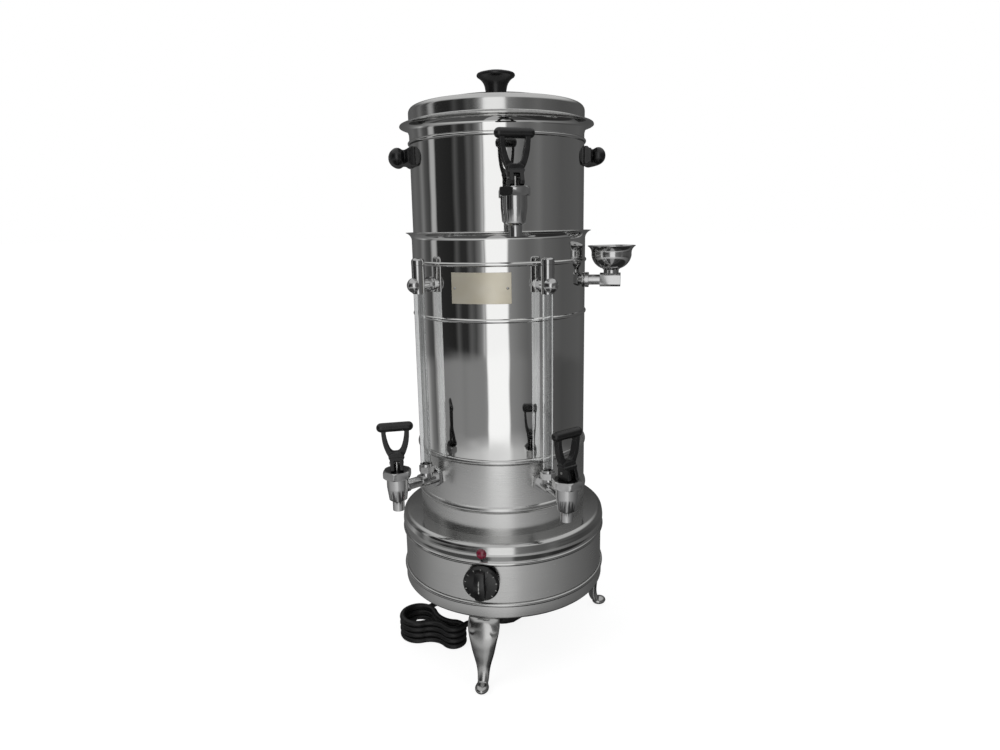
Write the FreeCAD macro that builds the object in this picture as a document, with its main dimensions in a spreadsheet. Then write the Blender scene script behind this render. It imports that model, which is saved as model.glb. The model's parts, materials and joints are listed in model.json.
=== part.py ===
import FreeCAD, Part
import math
import os
import Sketcher
from FreeCAD import Placement, Rotation, Vector

# Sizes in millimetres and angles in degrees. Heights are above the worktop the urn stands on.
# Azimuths are seen from above, 0 at the front (-Y) and positive towards +X.
SIZES = {
    "sheet_gauge": 0.9,
    "play": 0.3,
    "pin_play": 0.05,
    # electric base
    "leg_height": 83,
    "base_depth": 89,
    "base_top": "=leg_height + base_depth",
    "base_radius": 123.8,
    "base_bead": 1.4,
    "cover_skirt": 25,
    "cover_bend": 3.5,
    "cover_opening": 60,
    "pan_skirt": 19,
    "pan_bend": 2.5,
    # legs
    "leg_count": 3,
    "leg_inset": 7.8,
    "leg_root_radius": "=base_radius - leg_inset",
    "toe_spread": 13.7,
    "toe_radius": "=base_radius + toe_spread",
    "toe_width": 16,
    "toe_length": 19,
    "toe_rise": 11,
    "leg_screw": 5,
    "leg_screw_gap": 18,
    # thermostat and pilot light
    "knob_drop": 43.6,
    "knob_height": "=base_top - knob_drop",
    "knob_diameter": 40.6,
    "knob_skirt": 5.5,
    "knob_grip_width": 13,
    "knob_grip_reach": 15.5,
    "knob_grip_rise": 11,
    "knob_clear": 2.2,
    "shaft_diameter": 6,
    "shaft_bush": 10,
    "pilot_drop": 10.5,
    "pilot_height": "=base_top - pilot_drop",
    "pilot_diameter": 11.4,
    "pilot_body": 8.6,
    # tank
    "tank_radius": 100,
    "heater_room": 18,
    "tank_floor": "=base_top + heater_room",
    "tank_top": 505,
    "collar_flare": 6.4,
    "collar_depth": 8.5,
    "bead_low_drop": 91.2,
    "bead_low": "=tank_top - bead_low_drop",
    "bead_high_drop": 32.6,
    "bead_high": "=tank_top - bead_high_drop",
    "bead_rise": 1.5,
    "bead_width": 4.6,
    "skirt_play": 0.1,
    "skirt_radius": "=tank_radius + skirt_play + sheet_gauge",
    "skirt_rise": 88.5,
    "skirt_top": "=base_top + skirt_rise",
    "skirt_bead_rise": 30.3,
    "skirt_bead": "=base_top + skirt_bead_rise",
    "ledge_drop": 35,
    "ledge_height": "=tank_top - ledge_drop",
    "ledge_width": 7,
    "jacket_width": 16,
    "well_radius": "=tank_radius - jacket_width",
    "well_depth": 195,
    "plate_inset": 25,
    "plate_radius": "=tank_radius - plate_inset",
    "plate_depth": 8,
    # name plate
    "badge_width": 64,
    "badge_rise": 32.5,
    "badge_drop": 56.8,
    "badge_height": "=tank_top - badge_drop",
    "badge_gauge": 0.8,
    # pot
    "pot_gap": 2,
    "pot_radius": "=tank_radius - pot_gap",
    "pot_seat": 0.3,
    "pot_depth": 148,
    "pot_rim": "=ledge_height + sheet_gauge + pot_seat + pot_depth",
    "pot_flare": 10.4,
    "pot_flare_depth": 10,
    "pot_bead_drop": 17.7,
    "pot_bead": "=pot_rim - pot_bead_drop",
    "ear_drop": 33,
    "ear_height": "=pot_rim - ear_drop",
    "ear_standoff": 15.6,
    "ear_radius": "=pot_radius + ear_standoff",
    "ear_thickness": 16.5,
    "ear_angle": 38,
    "ear_grip_angle": 22,
    "ear_web": 13,
    "ear_azimuth": -71.7,
    "ear_screw": 4,
    # lid
    "lid_overhang": 0.2,
    "lid_radius": "=pot_radius + lid_overhang",
    "lid_wall": 10.3,
    "lid_shoulder": 6.5,
    "lid_rise": 31.8,
    "lid_crown": "=pot_rim + lid_rise",
    "lid_knob_diameter": 42,
    "lid_knob_neck": 25.7,
    "lid_knob_foot": 21.2,
    "lid_knob_rise": 27.5,
    # taps, measured up from the end of the spout
    "tap_standoff": 54,
    "tap_reach": "=tank_radius + tap_standoff",
    "tap_azimuth": 37,
    "tap_rise": 60,
    "tap_height": "=base_top + tap_rise",
    "top_tap_standoff": 38,
    "top_tap_reach": "=pot_radius + top_tap_standoff",
    "top_tap_azimuth": 18.3,
    "top_tap_rise": 54.8,
    "top_tap_height": "=ledge_height + sheet_gauge + pot_seat + top_tap_rise",
    "spout_radius": 6.5,
    "spout_bore": 4.5,
    "spout_length": 10.5,
    "tap_seat": 15.2,
    "tap_foot_radius": 9.8,
    "tap_foot": 12.8,
    "tap_radius": 11.7,
    "tap_wall": 3.3,
    "tap_shoulder": 37.8,
    "tap_neck": 9.6,
    "tap_neck_rise": 5.8,
    "shank_rise": 25,
    "shank_radius": 6,
    "shank_bore": 4.2,
    "bonnet_flats": 28,
    "bonnet_rise": 8.7,
    "bonnet_dish": 12.7,
    "cam_plate": 1.5,
    "stem_radius": 2.8,
    "stem_play": 0.08,
    "pivot_rise": 8,
    "cam_lead": 5,
    "cam_radius": 9.2,
    "handle_neck": 14,
    "handle_depth": 13,
    "handle_span": 31,
    "handle_window": 21,
    "handle_window_low": 19.2,
    "handle_rise": 48.5,
    "grip_length": 40,
    "grip_diameter": 9.8,
    "cross_pin": 3,
    "seat_cup_radius": 7.6,
    "seat_cup_rise": 6.5,
    "spring_radius": 5.2,
    "spring_wire": 1,
    "spring_turns": 5,
    "lock_nut_flats": 19,
    "lock_nut_rise": 4,
    # water gauges
    "gauge_standoff": 15,
    "gauge_radius": "=tank_radius + gauge_standoff",
    "gauge_head_drop": 54,
    "gauge_head": "=tank_top - gauge_head_drop",
    "glass_diameter": 11.6,
    "glass_wall": 1.4,
    "tee_radius": 7.5,
    "tee_length": 18,
    "tee_rise": 9,
    "gland_radius": 7.4,
    "gland_rise": 10,
    "head_barrel": 6,
    "head_sleeve": 6.9,
    "head_sleeve_rise": 21,
    "head_nose": 4,
    "cap_rise": 7.5,
    "dome_radius": 7.7,
    "dome_length": 8.5,
    # filling funnel
    "funnel_azimuth": 90,
    "funnel_standoff": 30,
    "funnel_reach": "=tank_radius + funnel_standoff",
    "funnel_drop": 55.5,
    "funnel_height": "=tank_top - funnel_drop",
    "funnel_rim": 26.8,
    "funnel_bowl": 22.4,
    "funnel_rise": 38,
    "funnel_lip": 7.5,
    "funnel_neck": 8.5,
    "elbow_width": 15,
    "elbow_length": 23,
    "pipe_radius": 5.8,
    # mains lead
    "lead_diameter": 7,
    "gland_length": 28,
    "gland_flange": 9,
    "plug_length": 32,
    "plug_width": 34,
    "plug_rise": 22,
    "plug_relief": 16,
}

doc = FreeCAD.newDocument("CoffeeUrn")
sheet = doc.addObject("Spreadsheet::Sheet", "Sheet")
for row, (alias, number) in enumerate(SIZES.items(), start=1):
    sheet.set("A%d" % row, alias)
    sheet.set("B%d" % row, str(number))
    sheet.setAlias("B%d" % row, alias)
doc.recompute()


class Size:
    """A number together with the expression over the sheet that gives it."""

    def __init__(self, value, text):
        self.value = float(value)
        self.text = text

    def __add__(self, other):
        return Size(self.value + number_of(other), "(%s + %s)" % (self.text, text_of(other)))

    def __radd__(self, other):
        return Size(number_of(other) + self.value, "(%s + %s)" % (text_of(other), self.text))

    def __sub__(self, other):
        return Size(self.value - number_of(other), "(%s - %s)" % (self.text, text_of(other)))

    def __rsub__(self, other):
        return Size(number_of(other) - self.value, "(%s - %s)" % (text_of(other), self.text))

    def __mul__(self, other):
        return Size(self.value * number_of(other), "(%s * %s)" % (self.text, text_of(other)))

    def __rmul__(self, other):
        return Size(number_of(other) * self.value, "(%s * %s)" % (text_of(other), self.text))

    def __truediv__(self, other):
        return Size(self.value / number_of(other), "(%s / %s)" % (self.text, text_of(other)))

    def __neg__(self):
        return Size(-self.value, "(0 - %s)" % self.text)


def number_of(size):
    return size.value if isinstance(size, Size) else float(size)


def text_of(size):
    return size.text if isinstance(size, Size) else "%.6g" % size


class Sizes:
    """The sheet's cells by alias, as d.tank_radius."""

    def __getattr__(self, alias):
        return Size(getattr(sheet, alias), "Sheet." + alias)


d = Sizes()
parts = []
scratch_count = 0


def fresh(kind, stem):
    """A new object of the document under a name of its own."""
    global scratch_count
    scratch_count += 1
    return doc.addObject(kind, "%s_%d" % (stem, scratch_count))


def bind(item, **sizes):
    """Set properties, those given as a Size by an expression over the sheet."""
    for name, size in sizes.items():
        if isinstance(size, Size):
            setattr(item, name, size.value)
            item.setExpression(name, size.text)
        else:
            setattr(item, name, size)
    return item


def vec(x, y, z):
    return Vector(number_of(x), number_of(y), number_of(z))


def spot(azimuth, radius, height=0):
    """The point at an azimuth and radius about the urn's axis."""
    turn = math.radians(number_of(azimuth))
    reach = number_of(radius)
    return Vector(reach * math.sin(turn), -reach * math.cos(turn), number_of(height))


def facing(azimuth, radius=0, height=0):
    """The placement that carries a piece built facing -Y out to an azimuth."""
    return Placement(spot(azimuth, radius, height), Rotation(Vector(0, 0, 1), number_of(azimuth)))


def keep(item, label, place=Placement()):
    """Make an object a sub-part of the urn."""
    item.Label = label
    item.Placement = place
    parts.append(item)
    return item


def feature(label, shape, place=Placement()):
    """A sub-part whose shape is computed here."""
    item = doc.addObject("Part::Feature", label)
    item.Shape = shape
    return keep(item, label, place)


# Sketched outlines: a corner is (x, y), or (x, y, bend) where the edge to the next corner is an arc of
# that radius, turning left when it is positive and right when it is negative.


def arc_of(start, end, bend):
    chord = end - start
    radius = abs(bend)
    rise = math.sqrt(max(radius * radius - chord.Length**2 / 4, 0))
    left = Vector(-chord.y, chord.x, 0).normalize()
    centre = (start + end) / 2 + left * (rise if bend > 0 else -rise)
    first, last = (start, end) if bend > 0 else (end, start)
    begin = math.atan2(first.y - centre.y, first.x - centre.x)
    finish = math.atan2(last.y - centre.y, last.x - centre.x)
    return Part.ArcOfCircle(Part.Circle(centre, Vector(0, 0, 1), radius), begin, finish)


def pin_corner(sketch, edge, end, axis, size):
    """Fix one coordinate of a corner to the sheet."""
    distance = "DistanceX" if axis == 0 else "DistanceY"
    value = number_of(size)
    if abs(value) < 1e-9:
        sketch.addConstraint(Sketcher.Constraint("PointOnObject", edge, end, -2 if axis == 0 else -1))
        return
    if value > 0:
        index = sketch.addConstraint(Sketcher.Constraint(distance, -1, 1, edge, end, value))
        text = text_of(size)
    else:
        index = sketch.addConstraint(Sketcher.Constraint(distance, edge, end, -1, 1, -value))
        text = "0 - %s" % text_of(size)
    if isinstance(size, Size):
        sketch.setExpression("Constraints[%d]" % index, text)


def draw(sketch, corners):
    """Draw a closed outline and fix every corner to its sizes."""
    points = [vec(corner[0], corner[1], 0) for corner in corners]
    edges = []
    for i, corner in enumerate(corners):
        start, end = points[i], points[(i + 1) % len(points)]
        if len(corner) == 3:
            bend = number_of(corner[2])
            edge = sketch.addGeometry(arc_of(start, end, bend))
            radius = sketch.addConstraint(Sketcher.Constraint("Radius", edge, abs(bend)))
            if isinstance(corner[2], Size):
                size = corner[2] if bend > 0 else -corner[2]
                sketch.setExpression("Constraints[%d]" % radius, size.text)
            edges.append((edge, 1, 2) if bend > 0 else (edge, 2, 1))
        else:
            edges.append((sketch.addGeometry(Part.LineSegment(start, end)), 1, 2))
    for i, (edge, begin, finish) in enumerate(edges):
        following, next_begin, _ = edges[(i + 1) % len(edges)]
        sketch.addConstraint(Sketcher.Constraint("Coincident", edge, finish, following, next_begin))
        pin_corner(sketch, edge, begin, 0, corners[i][0])
        pin_corner(sketch, edge, begin, 1, corners[i][1])


def sketch_on(body, role, outlines):
    """A sketch on one of a body's origin planes."""
    plane = [item for item in body.Origin.OriginFeatures if item.Role == role][0]
    sketch = body.newObject("Sketcher::SketchObject", body.Name + "_sketch")
    sketch.AttachmentSupport = [(plane, "")]
    sketch.MapMode = "FlatFace"
    for corners in outlines:
        draw(sketch, corners)
    return sketch


def turned(*outlines, angle=360):
    """A body turned about Z from outlines of (radius, height)."""
    body = fresh("PartDesign::Body", "turned")
    sketch = sketch_on(body, "XZ_Plane", outlines)
    turn = body.newObject("PartDesign::Revolution", body.Name + "_turn")
    turn.Profile = sketch
    turn.ReferenceAxis = (sketch, ["V_Axis"])
    turn.Angle = angle
    sketch.Visibility = False
    return body


def padded(role, length, *outlines):
    """A body padded evenly to both sides of an origin plane."""
    body = fresh("PartDesign::Body", "padded")
    sketch = sketch_on(body, role, outlines)
    pad = body.newObject("PartDesign::Pad", body.Name + "_pad")
    pad.Profile = sketch
    pad.Midplane = True
    bind(pad, Length=length)
    return body


def rod(radius, length, at=Vector(), along=Vector(0, 0, 1)):
    """A cylinder from a point in a direction."""
    item = bind(fresh("Part::Cylinder", "rod"), Radius=radius, Height=length)
    item.Placement = Placement(at, Rotation(Vector(0, 0, 1), along))
    return item


def block(x, y, z, centre, lift=0):
    """A box centred on a point in x and y, standing on it in z."""
    item = bind(fresh("Part::Box", "block"), Length=x, Width=y, Height=z)
    corner = centre - vec(x / 2, y / 2, 0) + Vector(0, 0, lift)
    item.Placement = Placement(corner, Rotation())
    return item


def hexagon(flats, length, at=Vector(), along=Vector(0, 0, 1), roll=0):
    """A hexagonal prism of a size across flats."""
    item = bind(fresh("Part::Prism", "hexagon"), Polygon=6, Height=length)
    bind(item, Circumradius=flats * (1 / math.sqrt(3)))
    item.Placement = Placement(at, Rotation(Vector(0, 0, 1), along) * Rotation(Vector(0, 0, 1), roll))
    return item


def fuse(*items):
    item = fresh("Part::MultiFuse", "fuse")
    item.Shapes = list(items)
    return item


def cut(base, *tools):
    item = fresh("Part::Cut", "cut")
    item.Base = base
    item.Tool = tools[0] if len(tools) == 1 else fuse(*tools)
    return item


def common(first, second):
    item = fresh("Part::MultiCommon", "common")
    item.Shapes = [first, second]
    return item


FRONT = Vector(0, -1, 0)
BACK = Vector(0, 1, 0)
ACROSS = Vector(1, 0, 0)
UP = Vector(0, 0, 1)
DOWN = Vector(0, 0, -1)

skin = d.sheet_gauge
base_floor = d.leg_height
wall_radius = d.base_radius - skin - d.play
leg_azimuths = [360 / SIZES["leg_count"] * i for i in range(SIZES["leg_count"])]
lead_exit = Vector(-58, 60, 0)


# Electric base: a pan on the legs, a plain wall standing in it, and a cover with a downturned skirt


def beaded_skirt(outer, low, high, bead_at_top):
    """The outer side of a skirt, from low to high, with its rolled bead."""
    bead = d.base_bead
    edge = bead * 3.3
    bend = edge * edge / (bead * 8) + bead / 2
    if bead_at_top:
        return [(outer, low), (outer, high - edge, bend), (outer, high)]
    return [(outer, low, bend), (outer, low + edge), (outer, high)]


def leg_screw_points(azimuth):
    across = Vector(math.cos(math.radians(azimuth)), math.sin(math.radians(azimuth)), 0)
    middle = spot(azimuth, d.leg_root_radius - 1)
    half = number_of(d.leg_screw_gap) / 2
    return [middle - across * half, middle + across * half]


def make_base():
    outer, low, high = d.base_radius, base_floor, base_floor + d.pan_skirt
    bend = d.pan_bend
    side = beaded_skirt(outer, low + bend, high, True)
    pan = turned(
        [(0, low), (outer - bend, low, bend)]
        + side
        + [(outer - skin, high), (outer - skin, low + bend, skin - bend),
           (outer - bend, low + skin), (0, low + skin)]
    )
    holes = [rod(d.leg_screw / 2 + 0.3, skin * 3, point + vec(0, 0, low - skin), UP)
             for azimuth in leg_azimuths for point in leg_screw_points(azimuth)]
    holes.append(rod(d.gland_flange - 2.5, skin * 3, lead_exit + vec(0, 0, low - skin), UP))
    keep(cut(pan, *holes), "base_pan")

    top = d.base_top
    wall_top = top - skin - d.cover_bend
    wall_foot = base_floor + d.pan_bend
    wall = turned([(wall_radius - skin, wall_foot), (wall_radius, wall_foot),
                   (wall_radius, wall_top), (wall_radius - skin, wall_top)])
    shaft_hole = rod(d.shaft_bush / 2 + 0.2, 20, vec(0, 8 - wall_radius, d.knob_height), FRONT)
    pilot_hole = rod(d.pilot_body / 2 + 0.2, 20, vec(0, 8 - wall_radius, d.pilot_height), FRONT)
    keep(cut(wall, shaft_hole, pilot_hole), "base_wall")

    bend = d.cover_bend
    low = top - d.cover_skirt
    side = beaded_skirt(outer, low, top - bend, False)
    side[-1] = side[-1] + (bend,)
    cover = turned(
        [(d.cover_opening, top - skin), (outer - bend, top - skin, skin - bend), (outer - skin, top - bend),
         (outer - skin, low)]
        + side
        + [(outer - bend, top), (d.cover_opening, top)]
    )
    pilot_hole = rod(d.pilot_body / 2 + 0.2, 20, vec(0, 8 - wall_radius, d.pilot_height), FRONT)
    keep(cut(cover, pilot_hole), "base_cover")


# Cast legs: a broad shield under the pan that narrows to a round ankle and ends in a ball toe

LEG_SECTIONS = [  # height, width, thickness, distance out from the root
    (0.94, 36.5, 13.5, 4),
    (0.86, 36.8, 14, 6.5),
    (0.72, 33, 13.5, 9),
    (0.55, 27, 12.5, 10),
    (0.39, 20, 11.5, 10.5),
    (0.24, 14.6, 11, 11.5),
    (0.13, 13, 11.5, 14),
]


def oval(width, thickness, centre):
    """An ellipse in a level plane."""
    if width >= thickness:
        curve = Part.Ellipse(centre, width / 2, thickness / 2)
    else:
        curve = Part.Ellipse(centre + Vector(0, thickness / 2, 0), centre + Vector(width / 2, 0, 0), centre)
    return Part.Wire(curve.toShape())


def leg_shape():
    """One leg at the front, made as a loft with a ball toe and a flat pad under the pan."""
    height = number_of(d.leg_height)
    root = number_of(d.leg_root_radius)
    sections = [oval(35, 12, Vector(0, -root, height))]
    for share, width, thickness, out in LEG_SECTIONS:
        sections.append(oval(width, thickness, Vector(0, -root - out, height * share)))
    ankle = Vector(0, -number_of(d.toe_radius) + 3, number_of(d.toe_rise) * 0.5)
    sections.append(oval(11, 9, ankle))
    limb = Part.makeLoft(sections, True, False)
    toe = Part.makeSphere(1)
    scale = FreeCAD.Matrix()
    scale.scale(number_of(d.toe_width) / 2, number_of(d.toe_length) / 2, number_of(d.toe_rise) / 2)
    toe = toe.transformGeometry(scale)
    flat = 0.5
    toe.translate(Vector(0, -number_of(d.toe_radius), number_of(d.toe_rise) / 2 - flat))
    leg = limb.fuse(toe)
    for side in (-1, 1):
        leg = leg.cut(Part.makeSphere(9, Vector(side * 15.5, -root - 17, height * 0.875)))
    below = Part.makeBox(60, 60, 20, Vector(-30, -number_of(d.toe_radius) - 30, -20))
    leg = leg.cut(below)
    for point in leg_screw_points(0):
        hole = Part.makeCylinder(number_of(d.leg_screw) / 2 + 0.05, 12, point + Vector(0, 0, height - 11))
        leg = leg.cut(hole)
    return leg.removeSplitter()


def make_legs():
    shape = leg_shape()
    for label, azimuth in zip(("leg_front", "leg_right", "leg_left"), leg_azimuths):
        feature(label, shape.copy(), facing(azimuth))
    screws = []
    floor = base_floor + skin
    for azimuth in leg_azimuths:
        for point in leg_screw_points(azimuth):
            head = rod(d.leg_screw * 0.85, d.leg_screw * 0.6, point + vec(0, 0, floor), UP)
            shank = rod(d.leg_screw / 2, skin + 10.5, point + vec(0, 0, floor), DOWN)
            screws.append(fuse(head, shank))
    group = fresh("Part::Compound", "screws")
    group.Links = screws
    keep(group, "leg_screws")


# Thermostat behind the wall, its knob, and the pilot light in the cover's skirt


def make_controls():
    height = d.knob_height
    behind = wall_radius - skin
    case = block(34, 22, 34, vec(0, 12.8 - behind, height - 17))
    bush = rod(d.shaft_bush / 2, 8, vec(0, 2 - behind, height), FRONT)
    nut = hexagon(14, 2, vec(0, -wall_radius - 0.1, height), FRONT)
    bore = rod(d.shaft_diameter / 2 + d.pin_play, 20, vec(0, 12 - behind, height), FRONT)
    keep(cut(fuse(case, bush, nut), bore), "thermostat")

    back = d.base_radius + d.knob_clear

    radius = d.knob_diameter / 2
    rim = d.knob_skirt
    rise = rim + d.knob_grip_rise
    dial = turned([(0, 0), (radius - 1, 0), (radius, 1), (radius, rim - 2), (radius - 2.2, rim),
                   (d.shaft_diameter / 2 + 6, rim + 1.5), (0, rim + 1.5)])
    half = d.knob_grip_width / 2
    tip = d.knob_grip_reach
    end = half * 0.78
    grip = padded("XY_Plane", rise * 2,
                  [(-end, -tip, half * 1.6), (end, -tip), (half, -tip * 0.35), (end, tip, half * 1.6),
                   (-end, tip), (-half, -tip * 0.35)])
    crown = turned([(0, 1), (radius - 2.4, 1), (radius - 2.4, rise - 6, arc_radius(radius - 2.4, 6)),
                    (0, rise)])
    grip = common(grip, crown)
    below = rod(d.shaft_diameter / 2 + 5.5, skin * 2.4, Vector(), UP)
    bore = rod(d.shaft_diameter / 2 + 0.02, 10.4, Vector(), UP)
    knob = cut(fuse(dial, grip), bore, below)
    shaft = rod(d.shaft_diameter / 2, back + 10 - (behind - 6), vec(0, 0, behind - 6 - back), UP)
    pair = fresh("Part::Compound", "pair")
    pair.Links = [knob, shaft]
    keep(pair, "thermostat_knob", Placement(vec(0, -back, height), Rotation(UP, FRONT)))

    lens = d.pilot_diameter / 2
    body = d.pilot_body / 2
    crown = lens * 0.86
    pilot = turned([(0, 0), (body, 0), (body, 12), (lens, 12), (lens, 13.4),
                    (crown, 15, arc_radius(crown, 1.6)),
                    (0, 16.6)])
    keep(pilot, "pilot_light", Placement(vec(0, 12 - d.base_radius, d.pilot_height), Rotation(UP, FRONT)))


# Tank: a tall shell with swaged beads and a flared collar, on a brushed skirt


def arc_radius(run, rise):
    """The radius of an arc that starts square to its rise and ends after a run."""
    return (run * run + rise * rise) / (rise * 2)


def bead_corners(radius, height, rise, width, inward=False):
    """The corners of a swaged bead, going up; inward gives the inner face, going down."""
    half = width / 2
    bend = arc_radius(half, rise)
    if inward:
        return [(radius, height + half, -bend), (radius, height - half)]
    return [(radius, height - half, bend), (radius, height + half)]


def make_tank():
    radius, top = d.tank_radius, d.tank_top
    inner = radius - skin
    flare, depth = d.collar_flare, d.collar_depth
    bend = arc_radius(depth, flare)
    rise, width = d.bead_rise, d.bead_width
    outline = [(0, d.tank_floor), (radius - 2, d.tank_floor, 2), (radius, d.tank_floor + 2)]
    outline += bead_corners(radius, d.bead_low, rise, width)
    outline += bead_corners(radius, d.bead_high, rise, width)
    outline += [(radius, top - depth, -bend), (radius + flare, top), (radius + flare - skin, top, bend)]
    outline += [(inner, top - depth)]
    outline += bead_corners(inner, d.bead_high, rise, width, True)
    outline += [(inner, d.ledge_height), (inner - d.ledge_width, d.ledge_height),
                (inner - d.ledge_width, d.ledge_height - skin), (inner, d.ledge_height - skin)]
    outline += bead_corners(inner, d.bead_low, rise, width, True)
    outline += [(inner, d.tank_floor + 2, skin - 2), (radius - 2, d.tank_floor + skin),
                (0, d.tank_floor + skin)]
    shell = turned(outline)
    holes = [wall_hole(azimuth, d.tap_height, d.shank_radius) for azimuth in (-d.tap_azimuth, d.tap_azimuth)]
    holes += [wall_hole(azimuth, d.gauge_head, d.head_nose) for azimuth in (-d.tap_azimuth, d.tap_azimuth)]
    holes.append(wall_hole(d.funnel_azimuth, d.funnel_height, d.pipe_radius))
    keep(cut(shell, *holes), "tank_shell")

    outer = d.skirt_radius
    skirt = turned(
        [(outer - skin, d.base_top), (outer, d.base_top)]
        + bead_corners(outer, d.skirt_bead, 1.7, 5)
        + bead_corners(outer, d.skirt_top - 2, 0.9, 4)
        + [(outer - skin, d.skirt_top)]
    )
    holes = [wall_hole(azimuth, d.tap_height, d.shank_radius) for azimuth in (-d.tap_azimuth, d.tap_azimuth)]
    keep(cut(skirt, *holes), "tank_skirt")

    well = d.well_radius
    flange = d.ledge_height
    low = flange - d.well_depth
    outline = [(0, low), (well - 12, low, 12), (well, low + 12), (well, flange - 4, -4), (well + 4, flange),
               (inner - 0.4, flange), (inner - 0.4, flange + skin), (well + 4, flange + skin, 4 + skin),
               (well - skin, flange - 4), (well - skin, low + 12, skin - 12), (well - 12, low + skin),
                (0, low + skin)]
    keep(turned(outline), "inner_well")

    plate = turned([(12, d.tank_floor - d.plate_depth), (d.plate_radius, d.tank_floor - d.plate_depth),
                    (d.plate_radius, d.tank_floor), (12, d.tank_floor)])
    keep(plate, "heating_plate")


def wall_hole(azimuth, height, radius):
    """A round hole through the wall at an azimuth, a little wider than what passes."""
    start = spot(azimuth, d.tank_radius * 0.8, height)
    return rod(radius + 0.2, d.tank_radius * 0.3, start, spot(azimuth, 1))


def make_badge():
    radius = d.tank_radius + 0.05
    outer = radius + d.badge_gauge
    plate = turned([(radius, 0), (outer, 0), (outer, d.badge_rise), (radius, d.badge_rise)])
    wedge = block(d.badge_width, d.tank_radius, d.badge_rise, vec(0, -d.tank_radius, 0))
    low = d.badge_height - d.badge_rise / 2
    keep(common(plate, wedge), "name_plate", Placement(vec(0, 0, low), Rotation()))
    rivets = []
    for side in (-1, 1):
        sweep = side * math.degrees((number_of(d.badge_width) / 2 - 3.5) / number_of(d.tank_radius))
        at = spot(sweep, radius + d.badge_gauge, d.badge_height)
        head = bind(fresh("Part::Sphere", "rivet"), Radius=1.7)
        head.Placement = Placement(at - spot(sweep, 0.9), Rotation())
        trim = rod(3, 4, at, spot(sweep, 1))
        rivets.append(common(head, trim))
    group = fresh("Part::Compound", "rivets")
    group.Links = rivets
    keep(group, "name_plate_rivets")


# Upper pot, its two side handles, and the lid


def make_pot():
    radius, rim = d.pot_radius, d.pot_rim
    inner = radius - skin
    low = d.ledge_height + skin + d.pot_seat
    flare, depth = d.pot_flare, d.pot_flare_depth
    bend = arc_radius(depth, flare)
    rise, width = d.bead_rise + 0.4, d.bead_width
    outline = [(0, low), (radius - 6, low, 6), (radius, low + 6)]
    outline += bead_corners(radius, d.pot_bead, rise, width)
    outline += [(radius, rim - depth, -bend), (radius + flare, rim), (radius + flare - skin, rim, bend)]
    outline += [(inner, rim - depth)]
    outline += bead_corners(inner, d.pot_bead, rise, width, True)
    outline += [(inner, low + 6, skin - 6), (radius - 6, low + skin), (0, low + skin)]
    shell = turned(outline)
    holes = [wall_hole(d.top_tap_azimuth, d.top_tap_height, d.shank_radius)]
    for azimuth in (d.ear_azimuth, d.ear_azimuth + 180):
        holes += [rod(d.ear_screw / 2 + 0.2, 16, spot(azimuth + lean, inner - 6, d.ear_height),
                      spot(azimuth + lean, 1))
                  for lean in (-7, 7)]
    keep(cut(shell, *holes), "pot_shell")

    for label, azimuth in (("pot_handle_left", d.ear_azimuth), ("pot_handle_right", d.ear_azimuth + 180)):
        keep(ear(), label, facing(azimuth))

    screws = []
    for azimuth in (d.ear_azimuth, d.ear_azimuth + 180):
        for lean in (-7, 7):
            out = spot(azimuth + lean, 1)
            head = rod(d.ear_screw * 0.9, 2.4, spot(azimuth + lean, inner - 2.8, d.ear_height), out)
            shank = rod(d.ear_screw / 2, 12, spot(azimuth + lean, inner - 2.8, d.ear_height), out)
            screws.append(fuse(head, shank))
    group = fresh("Part::Compound", "screws")
    group.Links = screws
    keep(group, "pot_handle_screws")


def ear():
    """A moulded side handle: a short rolled grip on a foot that follows the pot's wall."""
    grip_radius = d.ear_thickness / 2
    half_angle = d.ear_grip_angle / 2
    roll = bind(fresh("Part::Torus", "roll"), Radius1=d.ear_radius, Radius2=grip_radius,
                Angle3=d.ear_grip_angle)
    roll.Placement = Placement(vec(0, 0, d.ear_height), Rotation(UP, -90 - number_of(half_angle)))
    ends = []
    for side in (-1, 1):
        ball = bind(fresh("Part::Sphere", "ball"), Radius=grip_radius)
        ball.Placement = Placement(spot(half_angle * side, d.ear_radius, d.ear_height), Rotation())
        ends.append(ball)
    inner = d.pot_radius + 0.05
    half = d.ear_web / 2
    foot = turned([(inner, -half - 2), (inner + 3.5, -half - 2), (inner + 6, -half), (inner + 8, -half),
                   (inner + 8, half), (inner + 6, half), (inner + 3.5, half + 2), (inner, half + 2)],
                  angle=number_of(d.ear_angle))
    foot.Placement = Placement(vec(0, 0, d.ear_height), Rotation(UP, -90 - number_of(d.ear_angle) / 2))
    web = turned([(inner + 1, -half), (d.ear_radius, -half), (d.ear_radius, half), (inner + 1, half)],
                 angle=number_of(half_angle) * 2)
    web.Placement = Placement(vec(0, 0, d.ear_height), Rotation(UP, -90 - number_of(half_angle)))
    screws = [rod(d.ear_screw / 2 + 0.03, 11, spot(lean, d.pot_radius - 1, d.ear_height), spot(lean, 1))
              for lean in (-7, 7)]
    return cut(fuse(roll, foot, web, *ends), *screws)


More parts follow.
